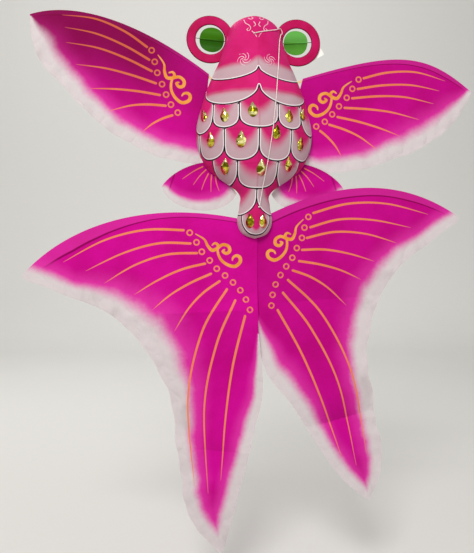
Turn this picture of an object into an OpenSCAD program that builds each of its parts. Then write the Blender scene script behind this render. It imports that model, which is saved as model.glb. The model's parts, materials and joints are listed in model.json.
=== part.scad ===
// Goldfish kite: printed silk over a bent bamboo frame, upright as it hangs.
// Millimetres, +Z up, front towards -Y, back plane y = 0 on the spine's back face.

/* [Body outline] */
// Height of the crown above the shoulder line
crown_z = 131; // [110:1:150]
// Height of the eye centres
eye_z = 94; // [80:1:105]
// Half width of the head at eye height
head_half_w = 44.5; // [38:0.5:46]
// Half width across the cheeks
cheek_half_w = 56; // [48:0.5:62]
// Half width where head silk and body silk meet
collar_half_w = 65.5; // [60:0.5:72]
// Half width of the shoulders
shoulder_half_w = 80; // [70:0.5:90]
// Half width of the belly
belly_half_w = 93; // [85:0.5:105]
// Half width of the hips
hip_half_w = 76; // [70:0.5:84]
// Half width of the neck above the tail
neck_half_w = 24.5; // [20:0.5:30]
// Half width of the round cap over the tail root
cap_half_w = 28; // [25:0.5:34]
// Depth of the head in front of its rim
head_depth = 40; // [30:1:50]
// Depth of the belly in front of its rim
belly_depth = 62; // [45:1:75]
// Share of the section that is a straight ridge
ridge = 0.15; // [0.05:0.01:0.30]
// Thickness of the body silk with its paste
skin_t = 0.8; // [0.5:0.1:1.2]

/* [Frame] */
// Width of the spine batten
spine_w = 6; // [5:0.5:9]
// Thickness of the spine batten
spine_t = 5; // [4:0.5:7]
// Lower end of the spine
spine_end_z = -212; // [-216:1:-208]
// Thickness of the crossbars and side strips
bar_t = 3; // [2:0.5:4]
// Height of a crossbar
bar_h = 6; // [4:0.5:8]
// Width of a side strip seen from the front
strip_w = 3; // [2:0.5:4]
// Width of the keel bow
keel_w = 4; // [3:0.5:6]
// Thickness of the keel bow
keel_t = 2.5; // [2:0.5:3.5]
// Thickness of a rib
rib_t = 2; // [1.5:0.5:3]
// Height of a rib
rib_h = 4; // [3:0.5:5]

/* [Eyes] */
// Distance of an eye centre from the middle plane
eye_x = 70; // [66:0.5:76]
// Outer radius of the eye silk
eye_outer_r = 37.3; // [34:0.1:40]
// Radius of the eye opening
eye_open_r = 24; // [22.5:0.1:26]
// Radius of the hoop rods
hoop_r = 1.2; // [0.8:0.1:1.5]
// Radius of the spinning vane
vane_r = 19.5; // [16:0.1:20]
// Inward shift of the vane on its axle
vane_shift = 2.5; // [0:0.1:3]
// Height of the vane's S curve
vane_curve = 3; // [1:0.1:6]
// Radius of the axle wire
axle_r = 0.5; // [0.4:0.05:0.8]
// Lift of the axle's outer end in degrees
axle_tilt = 4.5; // [0:0.5:8]

/* [Wings] */
// Distance of a wing pivot from the middle plane
wing_pivot_x = 62.5; // [58:0.5:63]
// Height of a wing pivot
wing_pivot_z = 28; // [24:0.5:32]
// Straight distance from pivot to wing tip
wing_span = 299; // [240:1:330]
// Depth of the wing silk at its root
wing_root = 134; // [110:1:150]
// Rise of the left spar's curve control
left_wing_bow = 46; // [30:1:65]
// Rise of the right spar's curve control
right_wing_bow = 62; // [30:1:65]
// Slope of the left wing as hung
left_wing_angle = 17.8; // [-15:0.1:20]
// Slope of the right wing as hung
right_wing_angle = -1.2; // [-15:0.1:15]
// Width of a fin spar
spar_w = 3.6; // [3:0.1:5]
// Thickness of a fin spar
spar_t = 1.2; // [1:0.1:1.4]
// Thickness of the fin silk
silk_t = 0.5; // [0.3:0.1:0.6]

/* [Tail] */
// Height of the tail pivot
tail_pivot_z = -200; // [-204:1:-196]
// Straight distance from pivot to the left outer tip
left_tail_span = 365; // [300:1:390]
// Straight distance from pivot to the right outer tip
right_tail_span = 338; // [300:1:390]
// Drop of the left lobe below the pivot line
left_tail_drop = 493; // [420:1:520]
// Drop of the right lobe below the pivot line
right_tail_drop = 452; // [420:1:520]
// Rise of a tail spar's curve control
tail_bow = 68; // [50:1:85]
// Slope of the left half as hung
left_tail_angle = -13.1; // [-20:0.1:10]
// Slope of the right half as hung
right_tail_angle = 2.2; // [-20:0.1:10]
// Height of the soft folds in the hanging lobes
fold_h = 4; // [1:0.1:4]

/* [Small fins] */
// Distance of a small fin's tip from the middle plane
pelvic_tip_x = 146; // [125:1:155]
// Height of a small fin's tip
pelvic_tip_z = -140; // [-150:1:-130]

/* [Pins and line] */
// Radius of the tail pin
tail_pin_r = 1.5; // [1.2:0.1:2]
// Radius of a wing pin
wing_pin_r = 1.25; // [1:0.05:1.6]
// Running clearance on a pin
run_gap = 0.05; // [0.02:0.01:0.10]
// Diameter of the bridle line
line_d = 1.4; // [1:0.1:2]
// Length of the paper tag
tag_l = 34; // [25:1:34]
// Width of the paper tag
tag_w = 12; // [8:1:12]

/* [Hidden] */

// Layers in depth, from the back plane forwards
bar_back = -spine_t;
bar_front = -spine_t - bar_t;
wing_mid = -2.85;
pelvic_mid = -4.65;
tail_right_mid = -6.85;
tail_left_mid = -9.25;
cap_back = -9.8;
hoop_y = -3.1;

// Stations of the body from crown to tail end: height, half width, depth, rim depth
body_st = [
    [crown_z, 0, 0, bar_back],
    [crown_z - 4, 20, 17, bar_back],
    [115, 37, 31, bar_back],
    [eye_z, head_half_w, head_depth, bar_back],
    [59, cheek_half_w, head_depth + 7, bar_back],
    [38, collar_half_w, head_depth + 11, bar_back],
    [0, shoulder_half_w, belly_depth - 4, bar_back],
    [-60, belly_half_w, belly_depth, bar_back],
    [-110, hip_half_w, belly_depth - 11, bar_back],
    [-148, neck_half_w + 3, 30, -7.4],
    [-170, neck_half_w, 24, cap_back],
    [-195, cap_half_w, 24, cap_back],
    [-214, 20, 16, cap_back],
    [-222, 0, 0, cap_back]];
st_eye = 3;
st_collar = 5;
st_shoulder = 6;
st_belly = 7;
st_hip = 8;
st_neck = 10;
st_cap = 11;
st_end = 13;

// Curve through points, four neighbours at a time
function at_end(p, i) = p[max(0, min(len(p) - 1, i))];
function curve4(a, b, c, d, t) = 0.5 * ((2 * b) + (c - a) * t
    + (2 * a - 5 * b + 4 * c - d) * t * t + (3 * b - a - 3 * c + d) * t * t * t);
function curve(p, s) = let (i = min(floor(s), len(p) - 2), t = s - i)
    curve4(at_end(p, i - 1), at_end(p, i), at_end(p, i + 1), at_end(p, i + 2), t);
function bez(a, b, c, d, t) = let (k = 1 - t)
    k * k * k * a + 3 * k * k * t * b + 3 * k * t * t * c + t * t * t * d;
function unit2(v) = v / max(norm(v), 0.0001);

// One point of the body surface, d_in inside the silk's outer face
function body_pt(s, t, d_in) = let (q = curve(body_st, s), w = q[1] - d_in, d = q[2] - d_in)
    [w * sin(t), q[3] - d * ((1 - ridge) * cos(t) + ridge * (1 - abs(sin(t)))), q[0]];

// Closed sheet from two grids of points, rows by columns
module sheet(front, back) {
    rows = len(front);
    cols = len(front[0]);
    n = rows * cols;
    pts = concat([for (r = front) for (p = r) p], [for (r = back) for (p = r) p]);
    quads = [for (i = [0:rows - 2]) for (j = [0:cols - 2])
        [i * cols + j, i * cols + j + 1, (i + 1) * cols + j + 1, (i + 1) * cols + j]];
    tri_f = [for (q = quads) each [[q[0], q[1], q[2]], [q[0], q[2], q[3]]]];
    tri_b = [for (q = quads) each [[n + q[0], n + q[2], n + q[1]], [n + q[0], n + q[3], n + q[2]]]];
    rim = concat([for (j = [0:cols - 1]) j], [for (i = [1:rows - 1]) i * cols + cols - 1],
        [for (j = [cols - 2:-1:0]) (rows - 1) * cols + j], [for (i = [rows - 2:-1:1]) i * cols]);
    m = len(rim);
    tri_r = [for (k = [0:m - 1]) let (a = rim[k], b = rim[(k + 1) % m])
        each [[a, n + b, b], [a, n + a, n + b]]];
    polyhedron(pts, concat(tri_f, tri_b, tri_r));
}

// Body silk between two stations
module skin(s0, s1, rows, cols) {
    function g(d_in) = [for (i = [0:rows]) [for (j = [0:cols])
        body_pt(s0 + (s1 - s0) * i / rows, -90 + 180 * j / cols, d_in)]];
    sheet(g(0), g(skin_t));
}

// Flat strip along a curve of 2D points, width from w0 to w1
function strip_side(c, w0, w1, sd) = [for (i = [0:len(c) - 1])
    let (d = unit2(at_end(c, i + 1) - at_end(c, i - 1)), w = w0 + (w1 - w0) * i / (len(c) - 1))
    c[i] + sd * w / 2 * [-d[1], d[0]]];
function strip(c, w0, w1) = let (a = strip_side(c, w0, w1, 1), b = strip_side(c, w0, w1, -1))
    concat(a, [for (i = [len(b) - 1:-1:0]) b[i]]);
// Upright plate from an outline in X and Z, between depths y0 (front) and y1 (back)
module plate(outline, y0, y1) {
    translate([0, y1, 0]) rotate([90, 0, 0]) linear_extrude(height = y1 - y0) polygon(outline);
}
// Puts a right-hand fin on its side at its pivot
module side_at(sd, px, pz, angle) {
    translate([sd * px, 0, pz]) mirror([sd < 0 ? 1 : 0, 0, 0]) rotate([0, -angle, 0]) children();
}

module spine() {
    color("BurlyWood") difference() {
        translate([-spine_w / 2, -spine_t, spine_end_z])
            cube([spine_w, spine_t, crown_z - 3 - spine_end_z]);
        translate([0, -1, tail_pivot_z]) rotate([90, 0, 0])
            cylinder(r = tail_pin_r, h = spine_t, $fn = 48);
    }
}

// Bow down the middle of the belly, from the spine's top to the tail crossbar
module keel_bow() {
    s0 = 0.5;
    s1 = 10;
    n = 44;
    gap = skin_t + 1;
    line = [for (i = [0:n]) let (p = body_pt(s0 + (s1 - s0) * i / n, 0, 0)) [p[1], p[2]]];
    function k(d_in) = strip_side(line, 2 * d_in, 2 * d_in, 1);
    o = concat([[bar_back, crown_z - 4]], k(gap), [[cap_back - bar_t, -190]]);
    i = concat([[bar_back, crown_z - 4.1 - keel_t]], k(gap + keel_t), [[cap_back - bar_t, -187]]);
    outline = concat(o, [for (j = [len(i) - 1:-1:0]) i[j]]);
    color("Peru") translate([-keel_w / 2, 0, 0]) rotate([90, 0, 90])
        linear_extrude(height = keel_w) polygon(outline);
}

// Arched rib under the keel bow, resting on the side strips
module rib(st, seat) {
    q = body_st[st];
    slope = abs((body_st[st + 1][1] - body_st[st - 1][1]) / (body_st[st + 1][0] - body_st[st - 1][0]));
    gw = skin_t + 0.8 + slope * rib_h / 2;
    gd = skin_t + 1 + keel_t + 0.3 + slope * rib_h / 2;
    n = 24;
    function arch(w, d) = let (t1 = acos((q[3] - seat) / (d * (1 - ridge))))
        [for (j = [0:n]) let (t = -t1 + 2 * t1 * j / n)
            [w * sin(t), q[3] - d * ((1 - ridge) * cos(t) + ridge * (1 - abs(sin(t))))]];
    a = arch(q[1] - gw, q[2] - gd);
    b = arch(q[1] - gw - rib_t, q[2] - gd - rib_t);
    translate([0, 0, q[0] - rib_h / 2]) linear_extrude(height = rib_h)
        polygon(concat(a, [for (j = [n:-1:0]) b[j]]));
}
module head_rib() { color("BurlyWood") rib(st_eye, bar_front); }
module shoulder_rib() { color("BurlyWood") rib(st_shoulder, bar_front); }
module belly_rib() { color("BurlyWood") rib(st_belly, bar_front); }
module hip_rib() { color("BurlyWood") rib(st_hip, bar_front); }
module cap_rib() { color("BurlyWood") rib(st_cap, cap_back - bar_t); }

// Bent strip that follows the body's rim
strip_in = skin_t + 0.9 + strip_w / 2;
module side_strip(sd) {
    s0 = 0.75;
    s1 = 8.8;
    n = 46;
    rim = [for (i = [0:n]) let (q = curve(body_st, s0 + (s1 - s0) * i / n)) [q[1], q[0]]];
    mid = strip_side(rim, 2 * strip_in, 2 * strip_in, -1);
    mirror([sd < 0 ? 1 : 0, 0, 0]) plate(strip(mid, strip_w, strip_w), bar_front, bar_back);
}
module left_side_strip() { color("BurlyWood") side_strip(-1); }
module right_side_strip() { color("BurlyWood") side_strip(1); }

// Level bar between the side strips, across the spine's front
module crossbar(z, half, y) {
    translate([-half, y - bar_t, z - bar_h / 2]) cube([2 * half, bar_t, bar_h]);
}
hip_bar_z = -100;
waist_bar_z = -136;
module eye_crossbar() { color("BurlyWood") crossbar(eye_z, head_half_w - 6.8, bar_back); }
module shoulder_crossbar() {
    bottom = wing_pivot_x + 2.95;
    top = wing_pivot_x + 0.75;
    color("BurlyWood") difference() {
        plate([[-bottom, -bar_h / 2], [bottom, -bar_h / 2], [top, bar_h / 2], [-top, bar_h / 2]]
            + [for (i = [0:3]) [0, wing_pivot_z]], bar_front, bar_back);
        for (sd = [-1, 1]) translate([sd * wing_pivot_x, bar_back + 1, wing_pivot_z])
            rotate([90, 0, 0]) cylinder(r = wing_pin_r, h = bar_t + 2, $fn = 48);
    }
}
module hip_crossbar() { color("BurlyWood") crossbar(hip_bar_z, hip_half_w - 1.5, bar_back); }
module waist_crossbar() { color("BurlyWood") crossbar(waist_bar_z, 30.2, bar_back); }
module tail_crossbar() {
    color("BurlyWood") difference() {
        translate([-24, cap_back - bar_t, tail_pivot_z - 3]) cube([48, bar_t, 14]);
        translate([0, cap_back + 1, tail_pivot_z]) rotate([90, 0, 0])
            cylinder(r = tail_pin_r, h = bar_t + 2, $fn = 48);
    }
}

// Thread bands wound round the crossbars beside the spine and near their ends
band_t = 0.4;
module band(x, z, y) {
    translate([x - 1.5, y - bar_t - band_t, z - bar_h / 2 - band_t]) difference() {
        cube([3, bar_t + 2 * band_t, bar_h + 2 * band_t]);
        translate([-1, band_t, band_t]) cube([5, bar_t, bar_h]);
    }
}
module frame_lashings() {
    color("Ivory") for (sd = [-1, 1]) {
        band(sd * (spine_w / 2 + 2), eye_z, bar_back);
        band(sd * 28, eye_z, bar_back);
        band(sd * (spine_w / 2 + 2), wing_pivot_z, bar_back);
        band(sd * 52, wing_pivot_z, bar_back);
        band(sd * (spine_w / 2 + 2), hip_bar_z, bar_back);
        band(sd * 57, hip_bar_z, bar_back);
        band(sd * (spine_w / 2 + 2), waist_bar_z, bar_back);
        band(sd * 25, waist_bar_z, bar_back);
    }
}

module head_skin() { color("DeepPink") skin(0.25, st_collar, 14, 18); }
module body_skin() { color("HotPink") skin(st_collar + 0.02, st_end - 0.25, 26, 18); }

// Two round hoops of one eye with holes for the axle
hoop_in_r = eye_open_r + hoop_r;
hoop_out_r = eye_outer_r - hoop_r;
module eye_at(sd) {
    translate([sd * eye_x, hoop_y, eye_z]) mirror([sd < 0 ? 1 : 0, 0, 0])
        rotate([0, -axle_tilt, 0]) children();
}
module ring(r) {
    rotate([90, 0, 0]) rotate_extrude($fn = 96) translate([r, 0]) circle(r = hoop_r, $fn = 24);
}
module eye_hoop(sd) {
    eye_at(sd) {
        difference() {
            ring(hoop_in_r);
            translate([-30, 0, 0]) rotate([0, 90, 0]) cylinder(r = axle_r, h = 60, $fn = 32);
        }
        ring(hoop_out_r);
    }
}
module left_eye_hoop() { color("BurlyWood") eye_hoop(-1); }
module right_eye_hoop() { color("BurlyWood") eye_hoop(1); }

// Flat silk ring on the front of the hoops
module eye_silk(sd) {
    translate([sd * eye_x, hoop_y - hoop_r - 0.05, eye_z]) rotate([90, 0, 0])
        difference() {
            cylinder(r = eye_outer_r, h = 0.5, $fn = 96);
            translate([0, 0, -1]) cylinder(r = eye_open_r, h = 3, $fn = 96);
        }
}
module left_eye_silk() { color("Crimson") eye_silk(-1); }
module right_eye_silk() { color("Crimson") eye_silk(1); }

module eye_axle(sd) {
    eye_at(sd) translate([-hoop_in_r - hoop_r - 0.5, 0, 0]) rotate([0, 90, 0])
        cylinder(r = axle_r, h = 2 * (hoop_in_r + hoop_r) + 1, $fn = 32);
}
module left_eye_axle() { color("DimGray") eye_axle(-1); }
module right_eye_axle() { color("DimGray") eye_axle(1); }

// S-curved disc with a sleeve that runs on the axle
module eye_vane(sd) {
    n = 24;
    function s_line(off) = [for (i = [0:n]) let (z = -vane_r + 2 * vane_r * i / n)
        [z, -vane_curve * sin(180 * z / vane_r) + off]];
    prof = concat(s_line(-0.3), [for (i = [n:-1:0]) s_line(0.3)[i]]);
    eye_at(sd) translate([-vane_shift, 0, 0]) difference() {
        union() {
            intersection() {
                rotate([90, 0, 90]) translate([0, 0, -vane_r - 1])
                    linear_extrude(height = 2 * vane_r + 2) polygon([for (p = prof) [p[1], p[0]]]);
                rotate([90, 0, 0]) translate([0, 0, -20]) cylinder(r = vane_r, h = 40, $fn = 96);
            }
            translate([-vane_r, 0, 0]) rotate([0, 90, 0])
                cylinder(r = axle_r + 0.8, h = 2 * vane_r, $fn = 32);
        }
        translate([-30, 0, 0]) rotate([0, 90, 0])
            cylinder(r = axle_r + run_gap, h = 60, $fn = 32);
    }
}
module left_eye_vane() { color("ForestGreen") eye_vane(-1); }
module right_eye_vane() { color("ForestGreen") eye_vane(1); }

// Stepped pin on the shoulder crossbar that a wing spar swings on
module wing_pin(sd) {
    translate([sd * wing_pivot_x, 0, wing_pivot_z]) rotate([90, 0, 0])
        rotate_extrude($fn = 48) polygon([[0, 0.4], [2.8, 0.4], [2.8, 1.1], [wing_pin_r, 1.1],
            [wing_pin_r, 2.8], [2.6, 2.8], [2.6, spine_t], [wing_pin_r, spine_t],
            [wing_pin_r, spine_t + bar_t], [0, spine_t + bar_t]]);
}
module left_wing_pin() { color("Sienna") wing_pin(-1); }
module right_wing_pin() { color("Sienna") wing_pin(1); }

// Curve of a spar from its pivot to its tip, in the fin's own plane
function spar_pt(span, bow, a0, a1, t) = bez([0, 0], [bow / tan(a0), bow],
    [span - bow / tan(a1), bow], [span, 0], t);
module spar(span, bow, a0, a1, pin_r, y0) {
    line = [for (i = [0:28]) spar_pt(span, bow, a0, a1, 0.985 * i / 28)];
    difference() {
        union() {
            plate(strip(line, spar_w, 1.8), y0, y0 + spar_t);
            translate([0, y0 + spar_t, 0]) rotate([90, 0, 0])
                cylinder(r = pin_r + 2, h = spar_t, $fn = 48);
        }
        translate([0, y0 + spar_t + 1, 0]) rotate([90, 0, 0])
            cylinder(r = pin_r + run_gap, h = spar_t + 2, $fn = 48);
    }
}
wing_a0 = 19.7;
wing_a1 = 38;
wing_spar_y = wing_mid + silk_t / 2 + 0.1;
module wing_side(sd) {
    side_at(sd, wing_pivot_x, wing_pivot_z, sd < 0 ? left_wing_angle : right_wing_angle) children();
}
function wing_bow(sd) = sd < 0 ? left_wing_bow : right_wing_bow;
module wing_spar(sd) {
    wing_side(sd) spar(wing_span, wing_bow(sd), wing_a0, wing_a1, wing_pin_r, wing_spar_y);
}
module left_wing_spar() { color("Tan") wing_spar(-1); }
module right_wing_spar() { color("Tan") wing_spar(1); }

// Wing silk between its leading edge and its trailing edge, with soft ripples to the back
function lead_pt(span, bow, a0, a1, t, up) = let (p = spar_pt(span, bow, a0, a1, t),
    d = unit2(spar_pt(span, bow, a0, a1, t + 0.01) - spar_pt(span, bow, a0, a1, t - 0.01)))
    p + up * [-d[1], d[0]];
function wing_trail(t) = bez([-0.06 * wing_span, -wing_root], [0.46 * wing_span, -1.27 * wing_root],
    [0.86 * wing_span, -0.52 * wing_root], [wing_span, -3], t);
module wing_silk(sd) {
    rows = 16;
    cols = 8;
    function pt(i, j, y) = let (s = i / rows, t = j / cols,
        a = lead_pt(wing_span, wing_bow(sd), wing_a0, wing_a1, 0.035 + 0.965 * s, 3.2),
        p = a + (wing_trail(s) - a) * t)
        [p[0], y + 1.2 * (1 - s) * pow(sin(540 * s) * sin(180 * t), 2), p[1]];
    function g(y) = [for (i = [0:rows]) [for (j = [0:cols]) pt(i, cols - j, y)]];
    wing_side(sd) sheet(g(wing_mid - silk_t / 2), g(wing_mid + silk_t / 2));
}
module left_wing_silk() { color("MediumVioletRed") wing_silk(-1); }
module right_wing_silk() { color("MediumVioletRed") wing_silk(1); }

// Small fins behind the hips, held by the hip crossbar
function pelvic_lead(t) = bez([hip_half_w - 12, hip_bar_z], [pelvic_tip_x - 48, hip_bar_z],
    [pelvic_tip_x - 14, pelvic_tip_z + 22], [pelvic_tip_x, pelvic_tip_z], t);
function pelvic_trail(t) = bez([neck_half_w + 3.5, pelvic_tip_z - 10],
    [neck_half_w + 21.5, pelvic_tip_z - 50], [pelvic_tip_x - 22, pelvic_tip_z - 44],
    [pelvic_tip_x - 2, pelvic_tip_z - 8], t);
module pelvic_splint(sd) {
    line = [for (i = [0:12]) pelvic_lead(0.97 * i / 12) - [0, 4.5 - 3 * i / 12]];
    mirror([sd < 0 ? 1 : 0, 0, 0])
        plate(strip(line, 3, 1.4), pelvic_mid + silk_t / 2 + 0.05, pelvic_mid + silk_t / 2 + 0.95);
}
module left_pelvic_splint() { color("Tan") pelvic_splint(-1); }
module right_pelvic_splint() { color("Tan") pelvic_splint(1); }
module pelvic_silk(sd) {
    rows = 8;
    cols = 5;
    function g(y) = [for (i = [0:rows]) [for (j = [0:cols]) let (a = pelvic_lead(i / rows),
        b = pelvic_trail(i / rows), p = a + (b - a) * (cols - j) / cols) [p[0], y, p[1]]]];
    mirror([sd < 0 ? 1 : 0, 0, 0])
        sheet(g(pelvic_mid - silk_t / 2), g(pelvic_mid + silk_t / 2));
}
module left_pelvic_silk() { color("MediumVioletRed") pelvic_silk(-1); }
module right_pelvic_silk() { color("MediumVioletRed") pelvic_silk(1); }

// Pin through spine and tail crossbar that both tail spars swing on
module tail_pin() {
    color("Sienna") translate([0, -1, tail_pivot_z]) rotate([90, 0, 0])
        cylinder(r = tail_pin_r, h = bar_t - cap_back - 1, $fn = 48);
}
tail_a0 = 27;
tail_a1 = 36;
function tail_span(sd) = sd < 0 ? left_tail_span : right_tail_span;
function tail_drop(sd) = sd < 0 ? left_tail_drop : right_tail_drop;
function tail_mid(sd) = sd < 0 ? tail_left_mid : tail_right_mid;
module tail_side(sd) {
    side_at(sd, 0, tail_pivot_z, sd < 0 ? left_tail_angle : right_tail_angle) children();
}
module tail_spar(sd) {
    tail_side(sd) spar(tail_span(sd), tail_bow, tail_a0, tail_a1, tail_pin_r,
        tail_mid(sd) + silk_t / 2 + 0.1);
}
module left_tail_spar() { color("Tan") tail_spar(-1); }
module right_tail_spar() { color("Tan") tail_spar(1); }

// Outer edge of a tail half from its outer tip to its lobe tip, and its inner edge
function tail_outer(sd, s) = let (w = tail_span(sd), d = tail_drop(sd)) curve([[w, -4],
    [0.87 * w, -0.075 * d], [0.66 * w, -0.20 * d], [0.53 * w, -0.43 * d], [0.55 * w, -0.68 * d],
    [0.56 * w, -0.86 * d], [172, -d]], s * 6);
function tail_inner(sd, s) = let (d = tail_drop(sd)) curve(sd < 0
    ? [[-1, -16], [29, -0.30 * d], [46, -0.52 * d], [76, -0.65 * d], [122, -0.83 * d], [164, 4 - d]]
    : [[2, -16], [-5, -0.30 * d], [9, -0.51 * d], [52, -0.65 * d], [118, -0.89 * d], [164, 4 - d]],
    s * 5);
// Ruled lines of the half: first along the spar, then down the lobe
function tail_a(sd, s) = s < 0.4
    ? lead_pt(tail_span(sd), tail_bow, tail_a0, tail_a1, 0.06 + 0.94 * s / 0.4, 4)
    : tail_outer(sd, (s - 0.4) / 0.6);
function tail_b(sd, s) = tail_inner(sd, s < 0.4 ? 0.10 * s / 0.4 : 0.10 + 0.90 * (s - 0.4) / 0.6);
module tail_silk(sd) {
    rows = 30;
    cols = 10;
    function pt(i, j, y) = let (s = i / rows, t = j / cols, a = tail_a(sd, s), b = tail_b(sd, s),
        p = a + (b - a) * t, f = max(0, -p[1] - 60) / 210)
        [p[0], y + sd * fold_h * (1 - cos(360 * f)) / 2, p[1]];
    function g(y) = [for (i = [0:rows]) [for (j = [0:cols]) pt(i, cols - j, y)]];
    tail_side(sd) sheet(g(tail_mid(sd) - silk_t / 2), g(tail_mid(sd) + silk_t / 2));
}
module left_tail_silk() { color("MediumVioletRed") tail_silk(-1); }
module right_tail_silk() { color("MediumVioletRed") tail_silk(1); }

// Bridle line: from the knot on the head to the notch by the right eye, then down to the neck
line_pts = [[-3.2, -46.7, 91], [7, -45, 94], [20, -38.5, 98.5], [31, -28.5, 104], [37.5, -17, 109.5],
    [41.5, -9, 113], [44.5, -6.4, 112.5], [45, -6.4, 108], [43.5, -9.5, 104.5], [40.8, -18.6, 100],
    [36.8, -30.5, 85], [34.8, -37.2, 70], [33, -43.5, 52], [31.2, -49.2, 34.5], [28.4, -56.5, 9.5],
    [26, -60.5, -15], [23, -63.8, -38], [21, -65, -58], [17.5, -62.2, -83], [14.5, -57, -105],
    [11.3, -48.4, -126.5], [8.2, -38, -148], [4.5, -34.8, -172]];
line_rings = 78;
module bridle_line() {
    n = 8;
    last = len(line_pts) - 1;
    mid = [for (i = [0:line_rings]) curve(line_pts, last * i / line_rings)];
    pts = [for (i = [0:line_rings]) let (d = at_end(mid, i + 1) - at_end(mid, i - 1), t = d / norm(d),
        u0 = cross(t, [0.6, 0.3, 0.74]), u = u0 / norm(u0), v = cross(t, u))
        for (k = [0:n - 1]) mid[i] + line_d / 2 * (cos(360 * k / n) * u + sin(360 * k / n) * v)];
    sides = [for (i = [0:line_rings - 1]) for (k = [0:n - 1]) let (a = i * n + k,
        b = i * n + (k + 1) % n) each [[a, b, b + n], [a, b + n, a + n]]];
    caps = [[for (k = [n - 1:-1:0]) k], [for (k = [0:n - 1]) line_rings * n + k]];
    color("White") polyhedron(pts, concat(sides, caps));
}
module knot(p) { translate(p) sphere(r = 1.8, $fn = 24); }
module bridle_head_knot() { color("White") knot([-5.1, -46.9, 90.4]); }
module bridle_neck_knot() { color("White") knot([4, -34.8, -174]); }

// Blank paper tag tied behind the right eye's hoops
module paper_tag() {
    color("WhiteSmoke") translate([115, -1.2, 78]) rotate([0, -31, 0])
        translate([-tag_l, -0.5, 0]) cube([tag_l, 0.5, tag_w]);
}

spine();
keel_bow();
head_rib();
shoulder_rib();
belly_rib();
hip_rib();
cap_rib();
left_side_strip();
right_side_strip();
eye_crossbar();
shoulder_crossbar();
hip_crossbar();
waist_crossbar();
tail_crossbar();
frame_lashings();
head_skin();
body_skin();
left_eye_hoop();
right_eye_hoop();
left_eye_silk();
right_eye_silk();
left_eye_axle();
right_eye_axle();
left_eye_vane();
right_eye_vane();
left_wing_pin();
right_wing_pin();
left_wing_spar();
right_wing_spar();
left_wing_silk();
right_wing_silk();
left_pelvic_splint();
right_pelvic_splint();
left_pelvic_silk();
right_pelvic_silk();
tail_pin();
left_tail_spar();
right_tail_spar();
left_tail_silk();
right_tail_silk();
bridle_line();
bridle_head_knot();
bridle_neck_knot();
paper_tag();
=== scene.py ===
import json
import math

import bmesh
import bpy
import numpy as np
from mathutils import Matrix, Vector


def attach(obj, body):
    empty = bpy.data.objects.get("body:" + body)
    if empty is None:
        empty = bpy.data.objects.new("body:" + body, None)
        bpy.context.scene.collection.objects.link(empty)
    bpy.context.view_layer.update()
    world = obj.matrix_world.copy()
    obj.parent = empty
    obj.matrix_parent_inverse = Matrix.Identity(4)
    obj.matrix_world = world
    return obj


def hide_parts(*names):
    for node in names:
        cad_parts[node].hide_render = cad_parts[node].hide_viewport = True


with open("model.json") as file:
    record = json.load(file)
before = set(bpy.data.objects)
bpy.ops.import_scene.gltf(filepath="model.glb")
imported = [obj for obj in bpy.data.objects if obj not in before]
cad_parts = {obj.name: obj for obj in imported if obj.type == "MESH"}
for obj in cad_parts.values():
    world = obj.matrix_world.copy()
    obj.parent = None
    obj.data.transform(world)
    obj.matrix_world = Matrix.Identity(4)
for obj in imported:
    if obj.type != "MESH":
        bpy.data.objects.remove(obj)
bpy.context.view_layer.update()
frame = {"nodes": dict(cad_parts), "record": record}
bodyOf = {node: body for body, nodes in frame["record"]["behaviour"]["bodies"].items() for node in nodes}
mm = 0.001
print("frame loaded:", len(frame["nodes"]), "nodes")


def putInScene(name, data):
    thing = bpy.data.objects.new(name, data)
    bpy.context.scene.collection.objects.link(thing)
    return thing


# camera where the photograph was taken from, image 474 x 553
view = {"azimuth": -6.0, "distance": 1.0, "target": (-0.027, 0.0, -0.282),
        "focalPixels": 625.0, "imageWidth": 474.0, "sensor": 36}
cameraData = bpy.data.cameras.new("camera")
cameraData.sensor_fit = "HORIZONTAL"
cameraData.sensor_width = view["sensor"]
cameraData.lens = view["sensor"] * view["focalPixels"] / view["imageWidth"]
camera = putInScene("camera", cameraData)
turn = math.radians(view["azimuth"])
camera.location = Vector(view["target"]) + Vector((math.sin(turn), -math.cos(turn), 0)) * view["distance"]
camera.rotation_euler = (math.pi / 2, 0, turn)
bpy.context.scene.camera = camera
bpy.context.scene.view_settings.view_transform = "Standard"


# lines and distances in millimetres
farOff = 60.0  # stands for no printed line near
deepDyed = 9.0  # hem share far inside the dye
uvUnit = 100  # millimetres of cloth to one step of its flat map


def curveAt(points, s):  # smooth line through points, s counts them
    p = np.asarray(points, float)
    s = np.asarray(s, float)
    i = np.clip(np.floor(s).astype(int), 0, len(p) - 2)
    t = (s - i)[..., None]
    a, b, c, d = (p[np.clip(i + k, 0, len(p) - 1)] for k in (-1, 0, 1, 2))
    return 0.5 * (2 * b + (c - a) * t + (2 * a - 5 * b + 4 * c - d) * t**2 + (3 * b - a - 3 * c + d) * t**3)


def bezierAt(a, b, c, d, t):
    t = np.asarray(t, float)[..., None]
    k = 1 - t
    return k**3 * np.array(a) + 3 * k * k * t * np.array(b) + 3 * k * t * t * np.array(c) + t**3 * np.array(d)


def smoothLine(points, count):
    return curveAt(points, np.linspace(0, len(points) - 1, count))


def softStep(low, high, x):
    k = np.clip((x - low) / (high - low), 0, 1)
    return k * k * (3 - 2 * k)


def turned(flat, angle):
    u, v = flat.T
    return np.stack([u * math.cos(angle) - v * math.sin(angle), u * math.sin(angle) + v * math.cos(angle)], 1)


def offSegment(p, a, b):  # distance from a segment, and the share along it
    d = b - a
    k = np.clip(((p - a) @ d) / max(d @ d, 1e-9), 0, 1)
    return np.hypot(*(p - a - k[:, None] * d).T), k


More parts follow.
